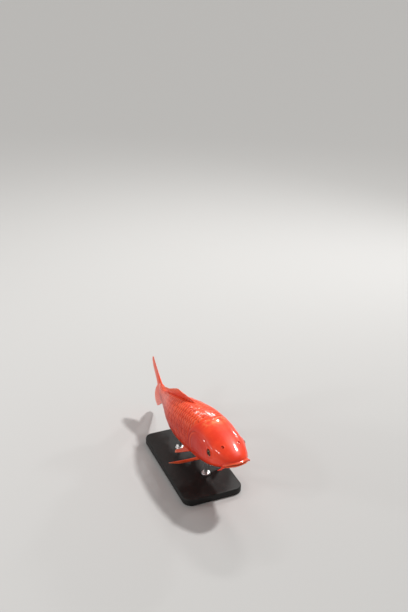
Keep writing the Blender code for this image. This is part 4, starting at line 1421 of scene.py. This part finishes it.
VIEW_TARGET = Vector((0.0, 0.0, 0.13))
VIEW_DISTANCE = 1.60
VIEW_ROUND = math.radians(-22.0)
VIEW_HEIGHT = math.radians(31.8)
VIEW_LENS = 47.2
LOOK_OVER = math.radians(6.83)  # the camera points this far over the target
LOOK_PAST = math.radians(1.07)  # and this far to its side
FLOOR_SIZE = 80.0
FAR_LAMP_WIDTH = math.radians(4.5)
WARM = (1.0, 0.985, 0.96)
WHITE = (1.0, 1.0, 1.0)
# Name, place, size, power and tint of each small lamp.
SMALL_LAMPS = (
    ("lamp_behind", (0.80, 1.30, 1.46), (0.45, 0.15), 9.5, WARM),
    ("lamp_back", (-0.04, 1.43, 1.58), (0.80, 0.09), 4.5, WARM),
    ("lamp_left", (1.45, 0.75, 0.82), (0.14, 0.14), 4.5, WHITE),
    ("lamp_right", (-1.75, 0.55, 0.62), (0.18, 0.18), 6.0, WHITE),
    ("lamp_front", (-1.72, -0.16, 1.35), (0.17, 0.17), 3.5, WHITE),
)


def hang(name, light, place, power, tint):
    """Hangs a lamp at its place, turned to the fish."""
    light.energy = power
    light.color = tint
    lamp = add_object(name, light)
    lamp.location = place
    lamp.rotation_euler = (VIEW_TARGET - Vector(place)).to_track_quat("-Z", "Y").to_euler()


grid = bmesh.new()
bmesh.ops.create_grid(grid, x_segments=1, y_segments=1, size=FLOOR_SIZE / 2)
floor = add_object("floor", mesh_from(grid))
pale = Finish("pale_floor", Base_Color=colour(0.50, 0.50, 0.50), Roughness=0.9, Specular_IOR_Level=0.1)
floor.data.materials.append(pale.material)

far_light = bpy.data.lights.new("lamp_above", "SUN")
far_light.angle = FAR_LAMP_WIDTH
hang("lamp_above", far_light, VIEW_TARGET + Vector((1.04, 0.26, 1.70)), 2.15, WARM)
for name, place, size, power, tint in SMALL_LAMPS:
    light = bpy.data.lights.new(name, "AREA")
    light.shape = "ELLIPSE"
    light.size, light.size_y = size
    hang(name, light, place, power, tint)

world = bpy.data.worlds.new("studio")
world.use_nodes = True
glow = world.node_tree.nodes["Background"]
glow.inputs["Color"].default_value = colour(0.95, 0.92, 0.88)
glow.inputs["Strength"].default_value = 0.42
bpy.context.scene.world = world
bpy.context.scene.view_settings.view_transform = "Standard"

camera_data = bpy.data.cameras.new("camera")
camera_data.lens = VIEW_LENS
camera_data.clip_end = 200.0
camera = add_object("camera", camera_data)
back = Vector((
    math.sin(VIEW_ROUND) * math.cos(VIEW_HEIGHT),
    -math.cos(VIEW_ROUND) * math.cos(VIEW_HEIGHT),
    math.sin(VIEW_HEIGHT),
))
toward = (-back).to_track_quat("-Z", "Y").to_matrix().to_4x4()
over = Matrix.Rotation(LOOK_OVER, 4, "X") @ Matrix.Rotation(-LOOK_PAST, 4, "Y")
camera.matrix_world = Matrix.Translation(VIEW_TARGET + back * VIEW_DISTANCE) @ toward @ over
bpy.context.scene.camera = camera
